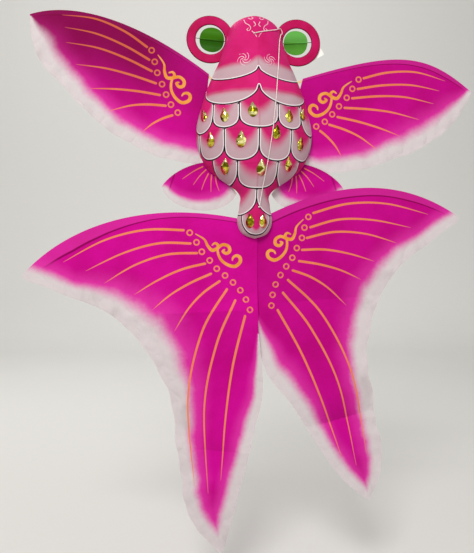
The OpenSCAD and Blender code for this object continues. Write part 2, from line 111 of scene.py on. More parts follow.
def strokeDistance(flat, line, halves=(0, 0), reach=12.0):  # from each point to a stroke's edge
    found = np.full(len(flat), farOff)
    near = np.nonzero(((flat > line.min(0) - reach) & (flat < line.max(0) + reach)).all(1))[0]
    if not len(near):
        return found
    p, best = flat[near], np.full(len(near), farOff)
    widths = np.interp(np.linspace(0, 1, len(line)), np.linspace(0, 1, len(halves)), halves)
    for a, b, wa, wb in zip(line[:-1], line[1:], widths[:-1], widths[1:]):
        off, k = offSegment(p, a, b)
        best = np.minimum(best, off - (wa + (wb - wa) * k))
    found[near] = best
    return found


def inkDistance(flat, strokes):
    best = np.full(len(flat), farOff)
    for line, halves in strokes:
        best = np.minimum(best, strokeDistance(flat, line, halves))
    return best


def hemShare(flat, line, widths):  # 0 on the cut edge, 1 where the dye starts
    best, along = np.full(len(flat), deepDyed), np.linspace(0, 1, len(widths))
    for i, (a, b) in enumerate(zip(line[:-1], line[1:])):
        off, k = offSegment(flat, a, b)
        best = np.minimum(best, off / np.interp((i + k) / (len(line) - 1), along, widths))
    return best


# one socket of a material, with maths on it
class Dye:
    def __init__(self, tree, socket=None):
        self.tree, self.socket = tree, socket

    def node(self, kind, settings, values, out=0):
        made = self.tree.nodes.new(kind)
        for key, value in settings.items():
            if key == "stops":
                while len(made.color_ramp.elements) < len(value):
                    made.color_ramp.elements.new(0.5)
                for element, (place, colour) in zip(made.color_ramp.elements, value):
                    element.position, element.color = place, (*colour, 1)
            else:
                setattr(made, key, value)
        for key, value in values.items():
            if isinstance(value, Dye):
                self.tree.links.new(value.socket, made.inputs[key])
            else:
                made.inputs[key].default_value = value
        return Dye(self.tree, made.outputs[out])

    def calc(self, operation, *others):
        return self.node("ShaderNodeMath", {"operation": operation}, dict(enumerate((self, *others))))

    def __add__(self, other):
        return self.calc("ADD", other)

    def __sub__(self, other):
        return self.calc("SUBTRACT", other)

    def __mul__(self, other):
        return self.calc("MULTIPLY", other)

    def __rsub__(self, other):
        return self.node("ShaderNodeMath", {"operation": "SUBTRACT"}, {0: other, 1: self})

    __radd__ = __add__
    __rmul__ = __mul__

    def step(self, low, high):
        return self.node("ShaderNodeMapRange", {"interpolation_type": "SMOOTHSTEP"}, {0: self, 1: low, 2: high})

    def blend(self, first, second):  # this value chooses between two colours
        return self.node("ShaderNodeMix", {"data_type": "RGBA"}, {0: self, 6: first, 7: second}, 2)

    def faded(self, share, colour):  # this colour with a share of another
        return self.node("ShaderNodeMix", {"data_type": "RGBA"}, {0: share, 6: self, 7: colour}, 2)

    def noise(self, scale, detail=2.0, stretch=(1, 1, 1)):
        placed = self.node("ShaderNodeMapping", {}, {"Vector": self, "Scale": stretch})
        return self.node("ShaderNodeTexNoise", {}, {"Vector": placed, "Scale": scale, "Detail": detail}, 0)

    def axis(self, name):
        return self.node("ShaderNodeSeparateXYZ", {}, {0: self}, name)

    def attribute(self, name):
        return self.node("ShaderNodeAttribute", {"attribute_name": name}, {}, "Fac")

    def flatPlace(self):
        return self.node("ShaderNodeUVMap", {"uv_map": "flat"}, {}, 0)

    def objectPlace(self):
        return self.node("ShaderNodeTexCoord", {}, {}, "Object")


def newMaterial(name, sockets):
    material = bpy.data.materials.new(name)
    material.use_nodes = True
    shader = material.node_tree.nodes["Principled BSDF"]
    for key, value in sockets.items():
        shader.inputs[key].default_value = value
    return material, shader, Dye(material.node_tree)


def feed(shader, links):
    for key, dye in links.items():
        dye.tree.links.new(dye.socket, shader.inputs[key])


def relief(height, distance, strength):  # bump from a height
    return height.node("ShaderNodeBump", {}, {"Height": height, "Distance": distance, "Strength": strength}, 0)


# materials of the silks
silkLook = {
    "magenta": (0.575, 0.002, 0.27, 1), "deepMagenta": (0.49, 0.0008, 0.205, 1),
    "brightMagenta": (0.66, 0.035, 0.34, 1), "wineRed": (0.14, 0.0003, 0.028, 1),
    # hem: undyed silk, greyed partly by painted shade; the crease colour is painted shade in the crumpled hem
    "hem": (0.61, 0.55, 0.565, 1), "hemCreaseShade": (0.51, 0.455, 0.465, 1),
    # the shaded coral is painted shade over the print
    "coral": (0.76, 0.185, 0.060, 1), "paleCoral": (0.82, 0.245, 0.115, 1), "shadedCoral": (0.40, 0.06, 0.025, 1),
    "gold": (0.69, 0.25, 0.033, 1), "paleGold": (0.78, 0.33, 0.07, 1),
    "pink": (0.59, 0.015, 0.16, 1), "deepPink": (0.50, 0.009, 0.112, 1), "scaleGrey": (0.49, 0.335, 0.375, 1),
    "white": (0.80, 0.75, 0.77, 1), "outline": (0.018, 0.012, 0.016, 1),
    # the ring edge colour is painted shade along the eye rings' rims
    "crimson": (0.37, 0.004, 0.058, 1), "ringEdgeShade": (0.10, 0.001, 0.012, 1),
    "threads": 785.0, "weave": 0.02,  # a thread each 0.8 mm
    "broadCrease": (2.6, 3.0, (1.0, 0.55, 1.0)), "fineCrease": (11.0, 2.0, (0.7, 1.2, 1.0)),
    "crumple": (3.2, 2.5, (1.0, 0.7, 1.0)), "creaseHeights": (0.9, 0.18, 3.0), "creaseDepth": 0.0026,
    "uneven": (7.0, 0.2), "clouds": (0.35, 0.7), "printEdge": (0.3, -0.3),
}
silkShader = {"Sheen Weight": 0.02, "Sheen Roughness": 0.4, "Specular IOR Level": 0.04}


def silkSurface(shader, flat, colour, softness, loose=None):  # weave, creases and uneven sheen
    across, down = ((flat.axis(axis) * silkLook["threads"]).calc("SINE") for axis in ("X", "Y"))
    broad, fine, crumpled = silkLook["creaseHeights"]
    creases = flat.noise(*silkLook["broadCrease"]) * broad + flat.noise(*silkLook["fineCrease"]) * fine
    if loose:  # an undyed edge crumples more
        creases = creases + loose * (flat.noise(*silkLook["crumple"]) - 0.5).calc("ABSOLUTE") * crumpled
    bumps = relief(creases + across * down * silkLook["weave"], silkLook["creaseDepth"], 0.8)
    scale, amount = silkLook["uneven"]
    feed(shader, {"Base Color": colour, "Roughness": flat.noise(scale) * amount + softness, "Normal": bumps})


finDye = {
    "clouds": (1.3, 3.0), "stripEdge": (1.0, 0.92), "strip": 0.45,  # brighter beside the spar
    "seam": 1.04, "seamHalf": (0.13, 0.04), "seamDark": 0.75,
    "bleed": [(2.6, 0.4), (20.0, 0.16)], "thinning": (2.6, 1.0), "undyed": (1.52, 0.58),  # towards the hem
    "hemCreases": (2.2, 3.0, (1.0, 0.6, 1.0)), "hemShade": (0.52, 0.75), "patches": 6.0, "goldPatch": (0.35, 0.65),
    # how much the painted shade also darkens the print
    "printShade": 0.8, "softness": 0.5,
}


def finSilk(name, fade):
    material, shader, start = newMaterial(name, silkShader)
    flat = start.flatPlace()
    bleed, lead, shade = (start.attribute(layer) for layer in ("hem", "lead", "shade"))
    dyed = flat.noise(*finDye["clouds"]).step(*silkLook["clouds"]).blend(silkLook["magenta"], silkLook["deepMagenta"])
    dyed = (lead.step(*finDye["stripEdge"]) * finDye["strip"]).blend(dyed, silkLook["brightMagenta"])
    seam = (lead - finDye["seam"]).calc("ABSOLUTE").step(*finDye["seamHalf"])
    dyed = (seam * finDye["seamDark"]).blend(dyed, silkLook["wineRed"])
    # painted shade: the shade layer darkens the dye towards wine red
    dyed = shade.blend(dyed, silkLook["wineRed"])
    for scale, amount in finDye["bleed"]:  # the dye runs out softly
        bleed = bleed + (flat.noise(scale, 2.0) - 0.5) * amount
    cloth = (bleed.step(*finDye["thinning"]) * (1 - shade)).blend(dyed, silkLook["brightMagenta"])
    # painted shade in the crumples of the undyed hem
    creaseShade = flat.noise(*finDye["hemCreases"]).step(*finDye["hemShade"])
    bare = creaseShade.blend(silkLook["hem"], silkLook["hemCreaseShade"])
    undyed = bleed.step(*finDye["undyed"])
    cloth = undyed.blend(cloth, bare)
    patches = flat.noise(finDye["patches"])
    coral = patches.blend(silkLook["coral"], silkLook["paleCoral"])
    # painted shade darkens the print too
    coral = (shade * finDye["printShade"]).blend(coral, silkLook["shadedCoral"])
    gold = patches.step(*finDye["goldPatch"]).blend(silkLook["gold"], silkLook["paleGold"])
    for layer, ink in (("ink", coral), ("leaf", gold)):
        cloth = start.attribute(layer).step(*silkLook["printEdge"]).blend(cloth, ink)
    if fade:
        cloth = cloth.faded(fade, silkLook["hem"])
    silkSurface(shader, flat, cloth, finDye["softness"], undyed)
    return material


scaleDye = {
    "clouds": (1.8, 3.0), "patches": (4.0, 0.22),
    "pale": (0.98, 0.34), "reach": (3.1, 2.7),  # grey foot of a scale, how far its lines run
    "whiteAt": 1.7, "whiteHalf": (0.9, 0.45), "outlineHalf": (1.15, 0.75), "chalk": 0.8, "softness": 0.46,
    "bowHalf": (0.0022, 0.0006), "bowTop": (0.075, 0.04), "bowFoot": (-0.20, -0.16),
    "ribLines": [0.0, -0.060, -0.110], "ribHalf": (0.0024, 0.0007), "pressed": 0.22,
}


def bodySilk(name, fade):
    material, shader, start = newMaterial(name, silkShader)
    flat, place, rim = start.flatPlace(), start.objectPlace(), start.attribute("rim")
    pink = flat.noise(*scaleDye["clouds"]).step(*silkLook["clouds"]).blend(silkLook["pink"], silkLook["deepPink"])
    scale, amount = scaleDye["patches"]
    pale = (start.attribute("fill") + (flat.noise(scale, 2.0) - 0.5) * amount).step(*scaleDye["pale"])
    cloth = pale.blend(pink, silkLook["scaleGrey"])
    height = place.axis("Z")
    pressed = place.axis("X").calc("ABSOLUTE").step(*scaleDye["bowHalf"])
    pressed = pressed * height.step(*scaleDye["bowTop"]) * height.step(*scaleDye["bowFoot"])
    for level in scaleDye["ribLines"]:  # bow and ribs show through the silk
        pressed = pressed + (height - level).calc("ABSOLUTE").step(*scaleDye["ribHalf"])
    cloth = (pressed * scaleDye["pressed"]).blend(cloth, silkLook["crimson"])
    near = start.attribute("near").step(*scaleDye["reach"])
    whiteLine = (rim - scaleDye["whiteAt"]).calc("ABSOLUTE").step(*scaleDye["whiteHalf"])
    cloth = (whiteLine * near).blend(cloth, silkLook["white"])
    outline = rim.calc("ABSOLUTE").step(*scaleDye["outlineHalf"])
    cloth = (outline * near).blend(cloth, silkLook["outline"])
    chalked = start.attribute("chalk").step(*silkLook["printEdge"])
    cloth = (chalked * scaleDye["chalk"]).blend(cloth, silkLook["white"])
    if fade:
        cloth = cloth.faded(fade, silkLook["scaleGrey"])
    silkSurface(shader, flat, cloth, scaleDye["softness"])
    return material


eyeDye = {
    "clouds": (30.0, 3.0), "cloudEdge": (0.3, 0.75), "rimShadeEdge": (1.3, 0.5), "creases": (60.0, 3.0),
    "weave": (900.0, 1.0), "uneven": 80.0, "softness": 0.42, "depth": 0.0008,
}


def eyeSilk(name):
    material, shader, start = newMaterial(name, silkShader)
    place = start.objectPlace()
    clouds = place.noise(*eyeDye["clouds"]).step(*eyeDye["cloudEdge"])
    tone = clouds.blend(silkLook["crimson"], silkLook["deepPink"])
    # painted shade: dark along both rims, beside the hoops
    tone = start.attribute("rim").step(*eyeDye["rimShadeEdge"]).blend(tone, silkLook["ringEdgeShade"])
    creases = place.noise(*eyeDye["creases"]) * 0.6 + place.noise(*eyeDye["weave"]) * 0.12
    feed(shader, {"Base Color": tone, "Roughness": place.noise(eyeDye["uneven"]) * 0.2 + eyeDye["softness"],
                  "Normal": relief(creases, eyeDye["depth"], 0.7)})
    return material


# materials of the frame and fittings
bambooLook = {
    "tones": [(0.66, 0.44, 0.20, 1), (0.78, 0.60, 0.34, 1), (0.40, 0.23, 0.09, 1)],
    "pegTones": [(0.36, 0.20, 0.09, 1), (0.50, 0.31, 0.15, 1), (0.22, 0.11, 0.05, 1)],
    "fibres": 900.0, "stain": 28.0, "joints": 9.3, "firstJoint": 0.31, "jointHalf": (0.012, 0.004), "depth": 0.0004,
}


def bamboo(name, grain, tones):  # grain is the stretch of the fibres
    material, shader, start = newMaterial(name, {"Specular IOR Level": 0.4})
    place = start.objectPlace()
    fibres = place.noise(bambooLook["fibres"], 3.0, grain)
    tone = fibres.step(0.3, 0.72).blend(tones[0], tones[1])
    tone = (place.noise(bambooLook["stain"], 2.0).step(0.5, 0.75) * 0.5).blend(tone, tones[2])
    rings = place.axis("XYZ"[grain.index(min(grain))]) * bambooLook["joints"] + bambooLook["firstJoint"]
    knuckle = (rings.calc("FRACT") - 0.5).calc("ABSOLUTE").step(*bambooLook["jointHalf"])
    tone = (knuckle * 0.75).blend(tone, tones[2])
    bumps = relief(fibres * 0.5 - knuckle * 0.8, bambooLook["depth"], 0.8)
    feed(shader, {"Base Color": tone, "Roughness": fibres * 0.25 + 0.35, "Normal": bumps})
    return material


def plainFibre(name, dark, light, scale, rough, depth):  # thread and card
    material, shader, start = newMaterial(name, {"Specular IOR Level": 0.3})
    place = start.objectPlace()
    cloud, fine = place.noise(scale * 0.12, 2.0), place.noise(scale, 3.0)
    tone = (cloud * 0.6 + fine * 0.4).step(0.3, 0.7).blend(dark, light)
    feed(shader, {"Base Color": tone, "Roughness": fine * 0.2 + rough, "Normal": relief(fine, depth, 0.8)})
    return material


vanePaper = {"axle": 0.094, "edge": 0.0012, "flecks": (500.0, 3.0), "clouds": (60.0, 2.0), "cloudShare": 0.35}


def greenPaper(name, lower, upper):  # painted shade: the half below the wire is painted darker
    material, shader, start = newMaterial(name, {"Specular IOR Level": 0.1})
    place = start.objectPlace()
    fleck = place.noise(*vanePaper["flecks"])
    half = (place.axis("Z") - vanePaper["axle"]).step(-vanePaper["edge"], vanePaper["edge"])
    tone = half.blend(lower, upper)
    tone = (place.noise(*vanePaper["clouds"]).step(0.4, 0.8) * vanePaper["cloudShare"]).blend(tone, upper)
    feed(shader, {"Base Color": tone, "Roughness": fleck * 0.15 + 0.4, "Normal": relief(fleck, 0.00006, 0.5)})
    return material


foilLook = {
    # tones: painted reflections, dark and bright, for the crumpled faces
    "tones": [(0.30, (0.13, 0.115, 0.003)), (0.43, (0.42, 0.37, 0.012)), (0.55, (0.86, 0.76, 0.09)),
              (0.72, (1.0, 0.96, 0.42))],
    "faces": 105.0, "turn": (0, 0.5, 0), "stretch": (0.8, 0.8, 1.5), "patches": (110.0, 1.0, (0.8, 0.8, 1.3)),
    "depth": 0.0025, "rough": (0.12, 0.14),
}


def goldFoil(name):
    material, shader, start = newMaterial(name, {"Metallic": 1.0})
    place = start.objectPlace()
    bent = place.node("ShaderNodeMapping", {}, {"Vector": place, "Scale": foilLook["stretch"],
                                                "Rotation": foilLook["turn"]})
    facet = bent.node("ShaderNodeTexVoronoi", {"feature": "F1"}, {"Vector": bent, "Scale": foilLook["faces"]}, "Color")
    facet = facet.node("ShaderNodeSeparateColor", {}, {0: facet}, 0)  # painted reflection: one tone, dark or bright, for each crumpled face
    patch = place.noise(*foilLook["patches"])
    mixed = facet * 0.6 + patch * 0.5
    tone = mixed.node("ShaderNodeValToRGB", {"stops": foilLook["tones"]}, {0: mixed}, 0)
    amount, least = foilLook["rough"]
    feed(shader, {"Base Color": tone, "Roughness": patch * amount + least,
                  "Normal": relief(facet * 0.25 + patch, foilLook["depth"], 0.6)})
    return material


wireLook = {"iron": (0.10, 0.10, 0.10, 1), "rust": (0.16, 0.09, 0.05, 1), "spots": (260.0, 3.0),
            "spotEdge": (0.45, 0.7)}


def ironWire(name):
    material, shader, start = newMaterial(name, {"Metallic": 1.0})
    rust = start.objectPlace().noise(*wireLook["spots"])
    tone = rust.step(*wireLook["spotEdge"]).blend(wireLook["iron"], wireLook["rust"])
    feed(shader, {"Base Color": tone, "Roughness": rust * 0.3 + 0.3, "Normal": relief(rust, 0.0001, 0.6)})
    return material


bambooUp = bamboo("bambooUp", (1, 1, 0.03), bambooLook["tones"])
bambooAcross = bamboo("bambooAcross", (0.03, 1, 1), bambooLook["tones"])
pegWood = bamboo("pegWood", (1, 0.05, 1), bambooLook["pegTones"])
threadCotton = plainFibre("threadCotton", (0.72, 0.68, 0.63, 1), (0.90, 0.87, 0.84, 1), 2600.0, 0.6, 0.0002)
tagCard = plainFibre("tagCard", (0.78, 0.77, 0.73, 1), (0.88, 0.87, 0.84, 1), 420.0, 0.6, 0.00015)
# one green paper painted twice: the left vane in painted shade, the right one lit
shadedGreen = greenPaper("shadedGreenPaper", (0.018, 0.10, 0.001, 1), (0.036, 0.16, 0.001, 1))
litGreen = greenPaper("litGreenPaper", (0.065, 0.25, 0.022, 1), (0.10, 0.36, 0.060, 1))
foilGold, wireIron = goldFoil("foilGold"), ironWire("wireIron")
finFront, finBack = finSilk("finSilkFront", 0), finSilk("finSilkBack", 0.22)
bodyFront, bodyBack = bodySilk("bodySilkFront", 0), bodySilk("bodySilkBack", 0.3)
eyePink = eyeSilk("eyeSilkPink")
print("materials made")


# pieces
def addPiece(name, mesh, materials, body, nodes=()):
    piece = putInScene(name, mesh)
    for material in materials:
        mesh.materials.append(material)
    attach(piece, body)
    if nodes:
        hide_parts(*nodes)
    return piece


def meshFrom(shape, name, smooth=True):
    for face in shape.faces:
        face.smooth = smooth
    mesh = bpy.data.meshes.new(name)
    shape.to_mesh(mesh)
    shape.free()
    return mesh


def faceForwards(shape):  # the finished side looks out of the front
    shape.normal_update()
    if sum(f.normal.y * f.calc_area() for f in shape.faces) > 0:
        bmesh.ops.reverse_faces(shape, faces=shape.faces)


def roundLine(name, paths, radius, closed=False):  # mesh of round threads along paths in millimetres
    line = bpy.data.curves.new(name, "CURVE")
    line.dimensions, line.use_fill_caps = "3D", True
    line.bevel_depth, line.bevel_resolution = radius * mm, 2
    for path in paths:
        spline = line.splines.new("POLY")
        spline.points.add(len(path) - 1)
        for point, place in zip(spline.points, path):
            point.co = (*(Vector(place) * mm), 1)
        spline.use_cyclic_u = closed
    holder = putInScene(name, line)
    mesh = bpy.data.meshes.new_from_object(holder.evaluated_get(bpy.context.evaluated_depsgraph_get()))
    bpy.data.objects.remove(holder)
    for face in mesh.polygons:
        face.use_smooth = True
    return mesh


# bridle thread: tied on the crown, round the notch by the right eye, down to the neck
bridle = {
    "route": [(-3.2, -46.7, 91), (7, -45, 94), (20, -38.5, 98.5), (31, -28.5, 104), (37.1, -17.4, 109.7),
              (41.3, -9.4, 113.5), (44.1, -6.4, 112), (45.2, -6.3, 108.5), (43.6, -9.8, 104), (40.8, -18.6, 100),
              (36.8, -30.5, 85), (34.8, -37.2, 70), (33, -43.5, 52), (31.2, -49.2, 34.5), (28.4, -56.5, 9.5),
              (26, -60.5, -15), (23, -63.8, -38), (21, -65, -58), (17.5, -62.2, -83), (14.5, -57, -105),
              (11.3, -48.4, -126.5), (8.2, -38, -148), (4.5, -34.8, -172)],
    "diameter": 1.4, "ply": 0.38, "pitch": 5.0, "points": 900, "knotSize": 0.43, "knotThread": 0.55,
    "knots": {"bridle_head_knot": (-5.1, -46.9, 90.4), "bridle_neck_knot": (4, -34.8, -174)},
}
route = smoothLine(bridle["route"], bridle["points"])
runs = np.r_[0, np.cumsum(np.linalg.norm(np.diff(route, axis=0), axis=1))]
ahead = np.gradient(route, axis=0)
ahead /= np.linalg.norm(ahead, axis=1)[:, None]
sideways = np.cross(ahead, (0.6, 0.3, 0.74))  # a direction that the thread never takes
sideways /= np.linalg.norm(sideways, axis=1)[:, None]
upwards = np.cross(ahead, sideways)
plies = []
for ply in (0.0, math.pi):
    turns = runs / bridle["pitch"] * 2 * math.pi + ply
    around = np.cos(turns)[:, None] * sideways + np.sin(turns)[:, None] * upwards
    plies.append((route + (bridle["diameter"] / 2 - bridle["ply"]) * around).tolist())
bridleThread = addPiece("bridleThread", roundLine("bridleThread", plies, bridle["ply"]), [threadCotton],
                        "frame", ["bridle_line"])
k = np.linspace(0, 2 * math.pi, 60, endpoint=False)
loops = np.stack([np.sin(k) + 2 * np.sin(2 * k), np.cos(k) - 2 * np.cos(2 * k), -np.sin(3 * k)], 1)
for node, place in bridle["knots"].items():
    knot = (loops * bridle["knotSize"] + np.array(place)).tolist()
    mesh = roundLine(node + "Tied", [knot], bridle["knotThread"], True)
    addPiece(node + "Tied", mesh, [threadCotton], "frame", [node])
(route[::6] * mm).tolist()
print("bridle thread, length in mm:", round(float(runs[-1]), 1))


def printedSheet(name, cuts, shape, markAt, reach, ridge=None):  # grid of shares, finer beside printed lines
    cloth = bmesh.new()
    bmesh.ops.create_grid(cloth, x_segments=cuts[0], y_segments=cuts[1], size=0.5)
    shares = lambda: np.clip(np.array([v.co[:2] for v in cloth.verts]) + 0.5, 0, 1)
    for turn, close in enumerate(reach):
        cloth.verts.index_update()
        near = np.abs(markAt(shape(shares())[0], turn)) < close
        edges = [e for e in cloth.edges if near[e.verts[0].index] or near[e.verts[1].index]]
        bmesh.ops.subdivide_edges(cloth, edges=edges, cuts=1, use_grid_fill=True)
    onRidge = {v for v in cloth.verts if ridge is not None and abs(v.co.x + 0.5 - ridge) < 1e-5}
    flat, places = shape(shares())
    for v, place in zip(cloth.verts, places):
        v.co = Vector(place) * mm
    cloth.normal_update()
    bmesh.ops.triangulate(cloth, faces=[f for f in cloth.faces if len(f.verts) > 4])
    faceForwards(cloth)
    for edge in cloth.edges:
        edge.smooth = not (edge.is_boundary or (edge.verts[0] in onRidge and edge.verts[1] in onRidge))
    mesh = meshFrom(cloth, name)
    corners = np.zeros(len(mesh.loops), int)
    mesh.loops.foreach_get("vertex_index", corners)
    mesh.uv_layers.new(name="flat").data.foreach_set("uv", (flat[corners] / uvUnit).astype(np.float32).ravel())
    return mesh, flat


def mark(mesh, name, values):
    mesh.attributes.new(name, "FLOAT", "POINT").data.foreach_set("value", np.asarray(values, np.float32))


def thicken(piece, thickness, offset):
    wall = piece.modifiers.new("thickness", "SOLIDIFY")
    wall.thickness, wall.offset = thickness * mm, offset
    wall.material_offset = wall.material_offset_rim = len(piece.data.materials) - 1  # a second finish goes behind


# body: silk stretched over the ribs, printed with scales; stations give height, half width, depth and rim
body = {
    "stations": [(131, 0, 0, -5), (127, 20, 17, -5), (115, 37, 31, -5), (94, 44.5, 40, -5), (59, 56, 47, -5),
                 (38, 65.5, 51, -5), (0, 80, 58, -5), (-60, 93, 62, -5), (-110, 76, 51, -5), (-148, 27.5, 30, -7.4),
                 (-170, 24.5, 24, -9.8), (-195, 28, 24, -9.8), (-214, 20, 16, -9.8), (-222, 0, 0, -9.8)],
    "ridge": 0.15, "inset": 0.15, "sag": 1.1, "thickness": 0.4, "least": 0.02,
    "ribs": [131, 94, 38, 0, -60, -110, -148, -195, -222],
}
# printed scales from the head down: middle, half width, bottom, rounding; each is pink above and pale at its foot
scaleRows = [
    {"pinkAbove": (42, 9), "round": 1.9, "joined": True, "scales": [(-46, 46, 18.8, 17.5), (46, 46, 18.8, 17.5)]},
    {"pinkAbove": (-1.5, 0), "round": 1.9, "joined": True, "scales": [(-49, 49, -20.6, 27.5), (49, 49, -20.6, 27.5)]},
    {"tall": 48, "round": 2.2, "scales": [(0, 30.5, -58, 19), (-52.5, 22, -57, 17), (52.5, 22, -57, 17),
                                          (-96.5, 22, -62, 26), (96.5, 22, -62, 26)]},
    {"tall": 48, "round": 2.2, "scales": [(-27, 27, -105.5, 21), (27, 27, -105.5, 21), (-78, 24, -102, 20),
                                          (78, 24, -102, 20), (-126, 24, -98, 20), (126, 24, -98, 20)]},
    {"tall": 43, "round": 2.2, "scales": [(0, 32, -146, 20), (-53.5, 21.5, -139, 21), (53.5, 21.5, -139, 21)]},
    {"tall": 42, "round": 1.9, "scales": [(-30, 30, -186, 26), (30, 30, -186, 26)]},
    {"tall": 40, "round": 2.0, "streak": 6.5, "scales": [(0, 25.5, -217, 25)]},
]
scaleTone = {
    "bare": 1.2, "bareAbove": -165, "bareSoft": 15, "middle": 0.66, "joinedSoft": 20, "peakHalf": 10,
    "slope": 1.25, "foot": 0.46, "sides": 0.34, "lean": 0.32, "streak": 0.95, "reach": 45.0, "upright": 90,
}


def sectionAt(s, angle, inset):
    q = curveAt(body["stations"], s)
    w, d = (np.maximum(q[:, k] - inset, body["least"]) for k in (1, 2))
    x = w * np.sin(angle)
    y = q[:, 3] - d * ((1 - body["ridge"]) * np.cos(angle) + body["ridge"] * (1 - np.abs(np.sin(angle))))
    return np.stack([x, y, q[:, 0]], 1)


def acrossAt(s, angle, parts=24):  # distance over the silk from the ridge
    line = np.stack([sectionAt(s, angle * i / parts, 0) for i in range(parts + 1)])
    return np.sign(angle) * np.linalg.norm(np.diff(line, axis=0), axis=2).sum(0)


stationTable = np.linspace(0, len(body["stations"]) - 1, 3000)
heightTable = curveAt(body["stations"], stationTable)[:, 0]


def bodyPoint(across, height, lift):  # place above the silk
    s = np.interp(-np.asarray(height, float), -heightTable, stationTable)
    angles = np.linspace(0, math.pi / 2, 60)
    angle = np.array([np.sign(a) * np.interp(abs(a), acrossAt(np.full(len(angles), k), angles), angles)
                      for a, k in zip(across, s)])
    e = 0.02
    du = sectionAt(s, angle + e, 0) - sectionAt(s, angle - e, 0)
    dv = sectionAt(s + e, angle, 0) - sectionAt(s - e, angle, 0)
    out = np.cross(dv, du)
    out /= np.linalg.norm(out, axis=1)[:, None]
    out *= np.where(out[:, 1] > 0, -1, 1)[:, None]
    return sectionAt(s, angle, 0) + out * np.asarray(lift)[:, None]


def bodyShape(first, last):
    def shape(share):
        angle, s = (share[:, 0] - 0.5) * math.pi, first + (last - first) * share[:, 1]
        height = curveAt(body["stations"], s)[:, 0]
        ribs = np.array(body["ribs"], float)
        span = np.clip(np.searchsorted(-ribs, -height), 1, len(ribs) - 1)
        between = np.clip((ribs[span - 1] - height) / (ribs[span - 1] - ribs[span]), 0, 1)
        sag = body["sag"] * np.sin(math.pi * between) ** 2 * np.sin(2 * angle) ** 2
        return np.stack([acrossAt(s, angle), height], 1), sectionAt(s, angle, body["inset"] + sag)
    return shape


def scaleEdge(scale, power):  # printed outline of one scale
    c, h, bottom, rise = scale
    x = np.linspace(-1, 1, 41)
    return np.stack([c + h * x, bottom + rise * (1 - (1 - np.abs(x) ** power) ** (1 / power))], 1)


def joinedPink(row, x, y):  # pink above one level across the head
    level, peak = row["pinkAbove"]
    above = y - level - peak * np.exp(-((x / scaleTone["peakHalf"]) ** 2))
    return scaleTone["middle"] + above / scaleTone["joinedSoft"]


def scalePink(row, line, x, rise):  # pink above a rounded pale foot
    beside = (2 * x - line[0, 0] - line[-1, 0]) / (line[-1, 0] - line[0, 0])
    lean = scaleTone["lean"] * math.sin(line[0, 0] + 0.7 * line[0, 1])
    above = rise - scaleTone["foot"] - scaleTone["sides"] * (beside - lean) ** 2
    pink = scaleTone["middle"] + scaleTone["slope"] * above
    if "streak" in row:  # pink runs down the middle
        pink += scaleTone["streak"] * np.exp(-((x / row["streak"]) ** 2)) * np.clip(rise * 3 - 0.15, 0, 1)
    return pink


def scalePrint(flat):  # distance from the scales' lines, tone, and distance from any line
    x, y = flat.T
    own, cover = np.full(len(flat), farOff), np.full(len(flat), farOff)
    besideScales = np.clip((y - scaleTone["bareAbove"]) / scaleTone["bareSoft"], 0, 1)  # silk without scales is pink
    fill = scaleTone["bare"] * besideScales
    free = np.ones(len(flat), bool)
    for row in scaleRows:
        lines = [scaleEdge(scale, row["round"]) for scale in row["scales"]]
        if "joined" in row:
            lines = [np.concatenate(lines)]
        taken, edge = np.zeros(len(flat), bool), np.full(len(flat), farOff)
        for line in lines:
            low = np.interp(x, line[:, 0], line[:, 1])
            inside = (x >= line[0, 0]) & (x <= line[-1, 0]) & (y > low)
            if "joined" in row:
                inside |= (np.abs(x) > line[-1, 0]) & (y > line[-1, 1])
                outline, pink = line, joinedPink(row, x, y)
            else:
                ends = (0, scaleTone["upright"])
                outline = np.concatenate([[line[0] + ends], line, [line[-1] + ends]])
                pink = scalePink(row, line, x, (y - low) / row["tall"])
            d = strokeDistance(flat, outline, reach=scaleTone["reach"])
            mine = free & inside
            own[mine], fill[mine] = np.minimum(own[mine], d[mine]), pink[mine]
            taken |= mine
            edge = np.minimum(edge, d)
        free &= ~taken
        cover[free] = np.minimum(cover[free], edge[free])  # what lies under this row
    return np.where(own < cover, own, -cover), fill, np.minimum(own, cover)


# chalk-white swirls and curls on the head
chalk = {
    "swirls": [(-22.5, 50, 11, 1), (19, 49, 10, -1)],  # across, height, size, turn
    "arms": 5, "twist": 2.3, "armHalf": (0.55, 0.4), "half": (0.55, 0.45),
    "curls": [[(20.7, 118.4), (18.7, 111), (12.5, 105.5), (10.5, 99.5), (14, 95.8), (16.5, 98.5), (14, 101)],
              [(13, 121.5), (9, 117.5), (5.5, 119.5), (7, 123.5)], [(8.6, 95), (4.5, 90), (1.5, 84.5)],
              [(5, 112), (2.5, 106), (5.5, 103)]],
}
chalkStrokes = []
for across, height, size, spin in chalk["swirls"]:
    for arm in range(chalk["arms"]):
        r = np.linspace(0.16, 1, 14)
        angle = 2 * math.pi * arm / chalk["arms"] + spin * chalk["twist"] * r**1.3
        line = np.stack([across + size * r * np.cos(angle), height + size * r * np.sin(angle)], 1)
        chalkStrokes.append((line, chalk["armHalf"]))
for flip in (-1, 1):
    for curl in chalk["curls"]:
        chalkStrokes.append((smoothLine(np.array(curl) * (flip, 1), 26), chalk["half"]))


def bodyLines(flat, turn):
    return np.minimum(np.abs(scalePrint(flat)[0]), np.abs(inkDistance(flat, chalkStrokes)))


bodySheets = {
    "headSilk": {"node": "head_skin", "stations": (0.02, 5.0), "cuts": (44, 28), "flat": (0.19, 0.11)},
    "bodySilk": {"node": "body_skin", "stations": (5.0, 12.985), "cuts": (52, 66), "flat": (0.26, 0.28)},
}
for name, cut in bodySheets.items():
    mesh, flat = printedSheet(name, cut["cuts"], bodyShape(*cut["stations"]), bodyLines, (7.0, 4.0), 0.5)
    for layer, values in zip(("rim", "fill", "near"), scalePrint(flat)):
        mark(mesh, layer, values)
    mark(mesh, "chalk", inkDistance(flat, chalkStrokes))
    piece = addPiece(name, mesh, [bodyFront, bodyBack], "frame", [cut["node"]])
    thicken(piece, body["thickness"], -1)

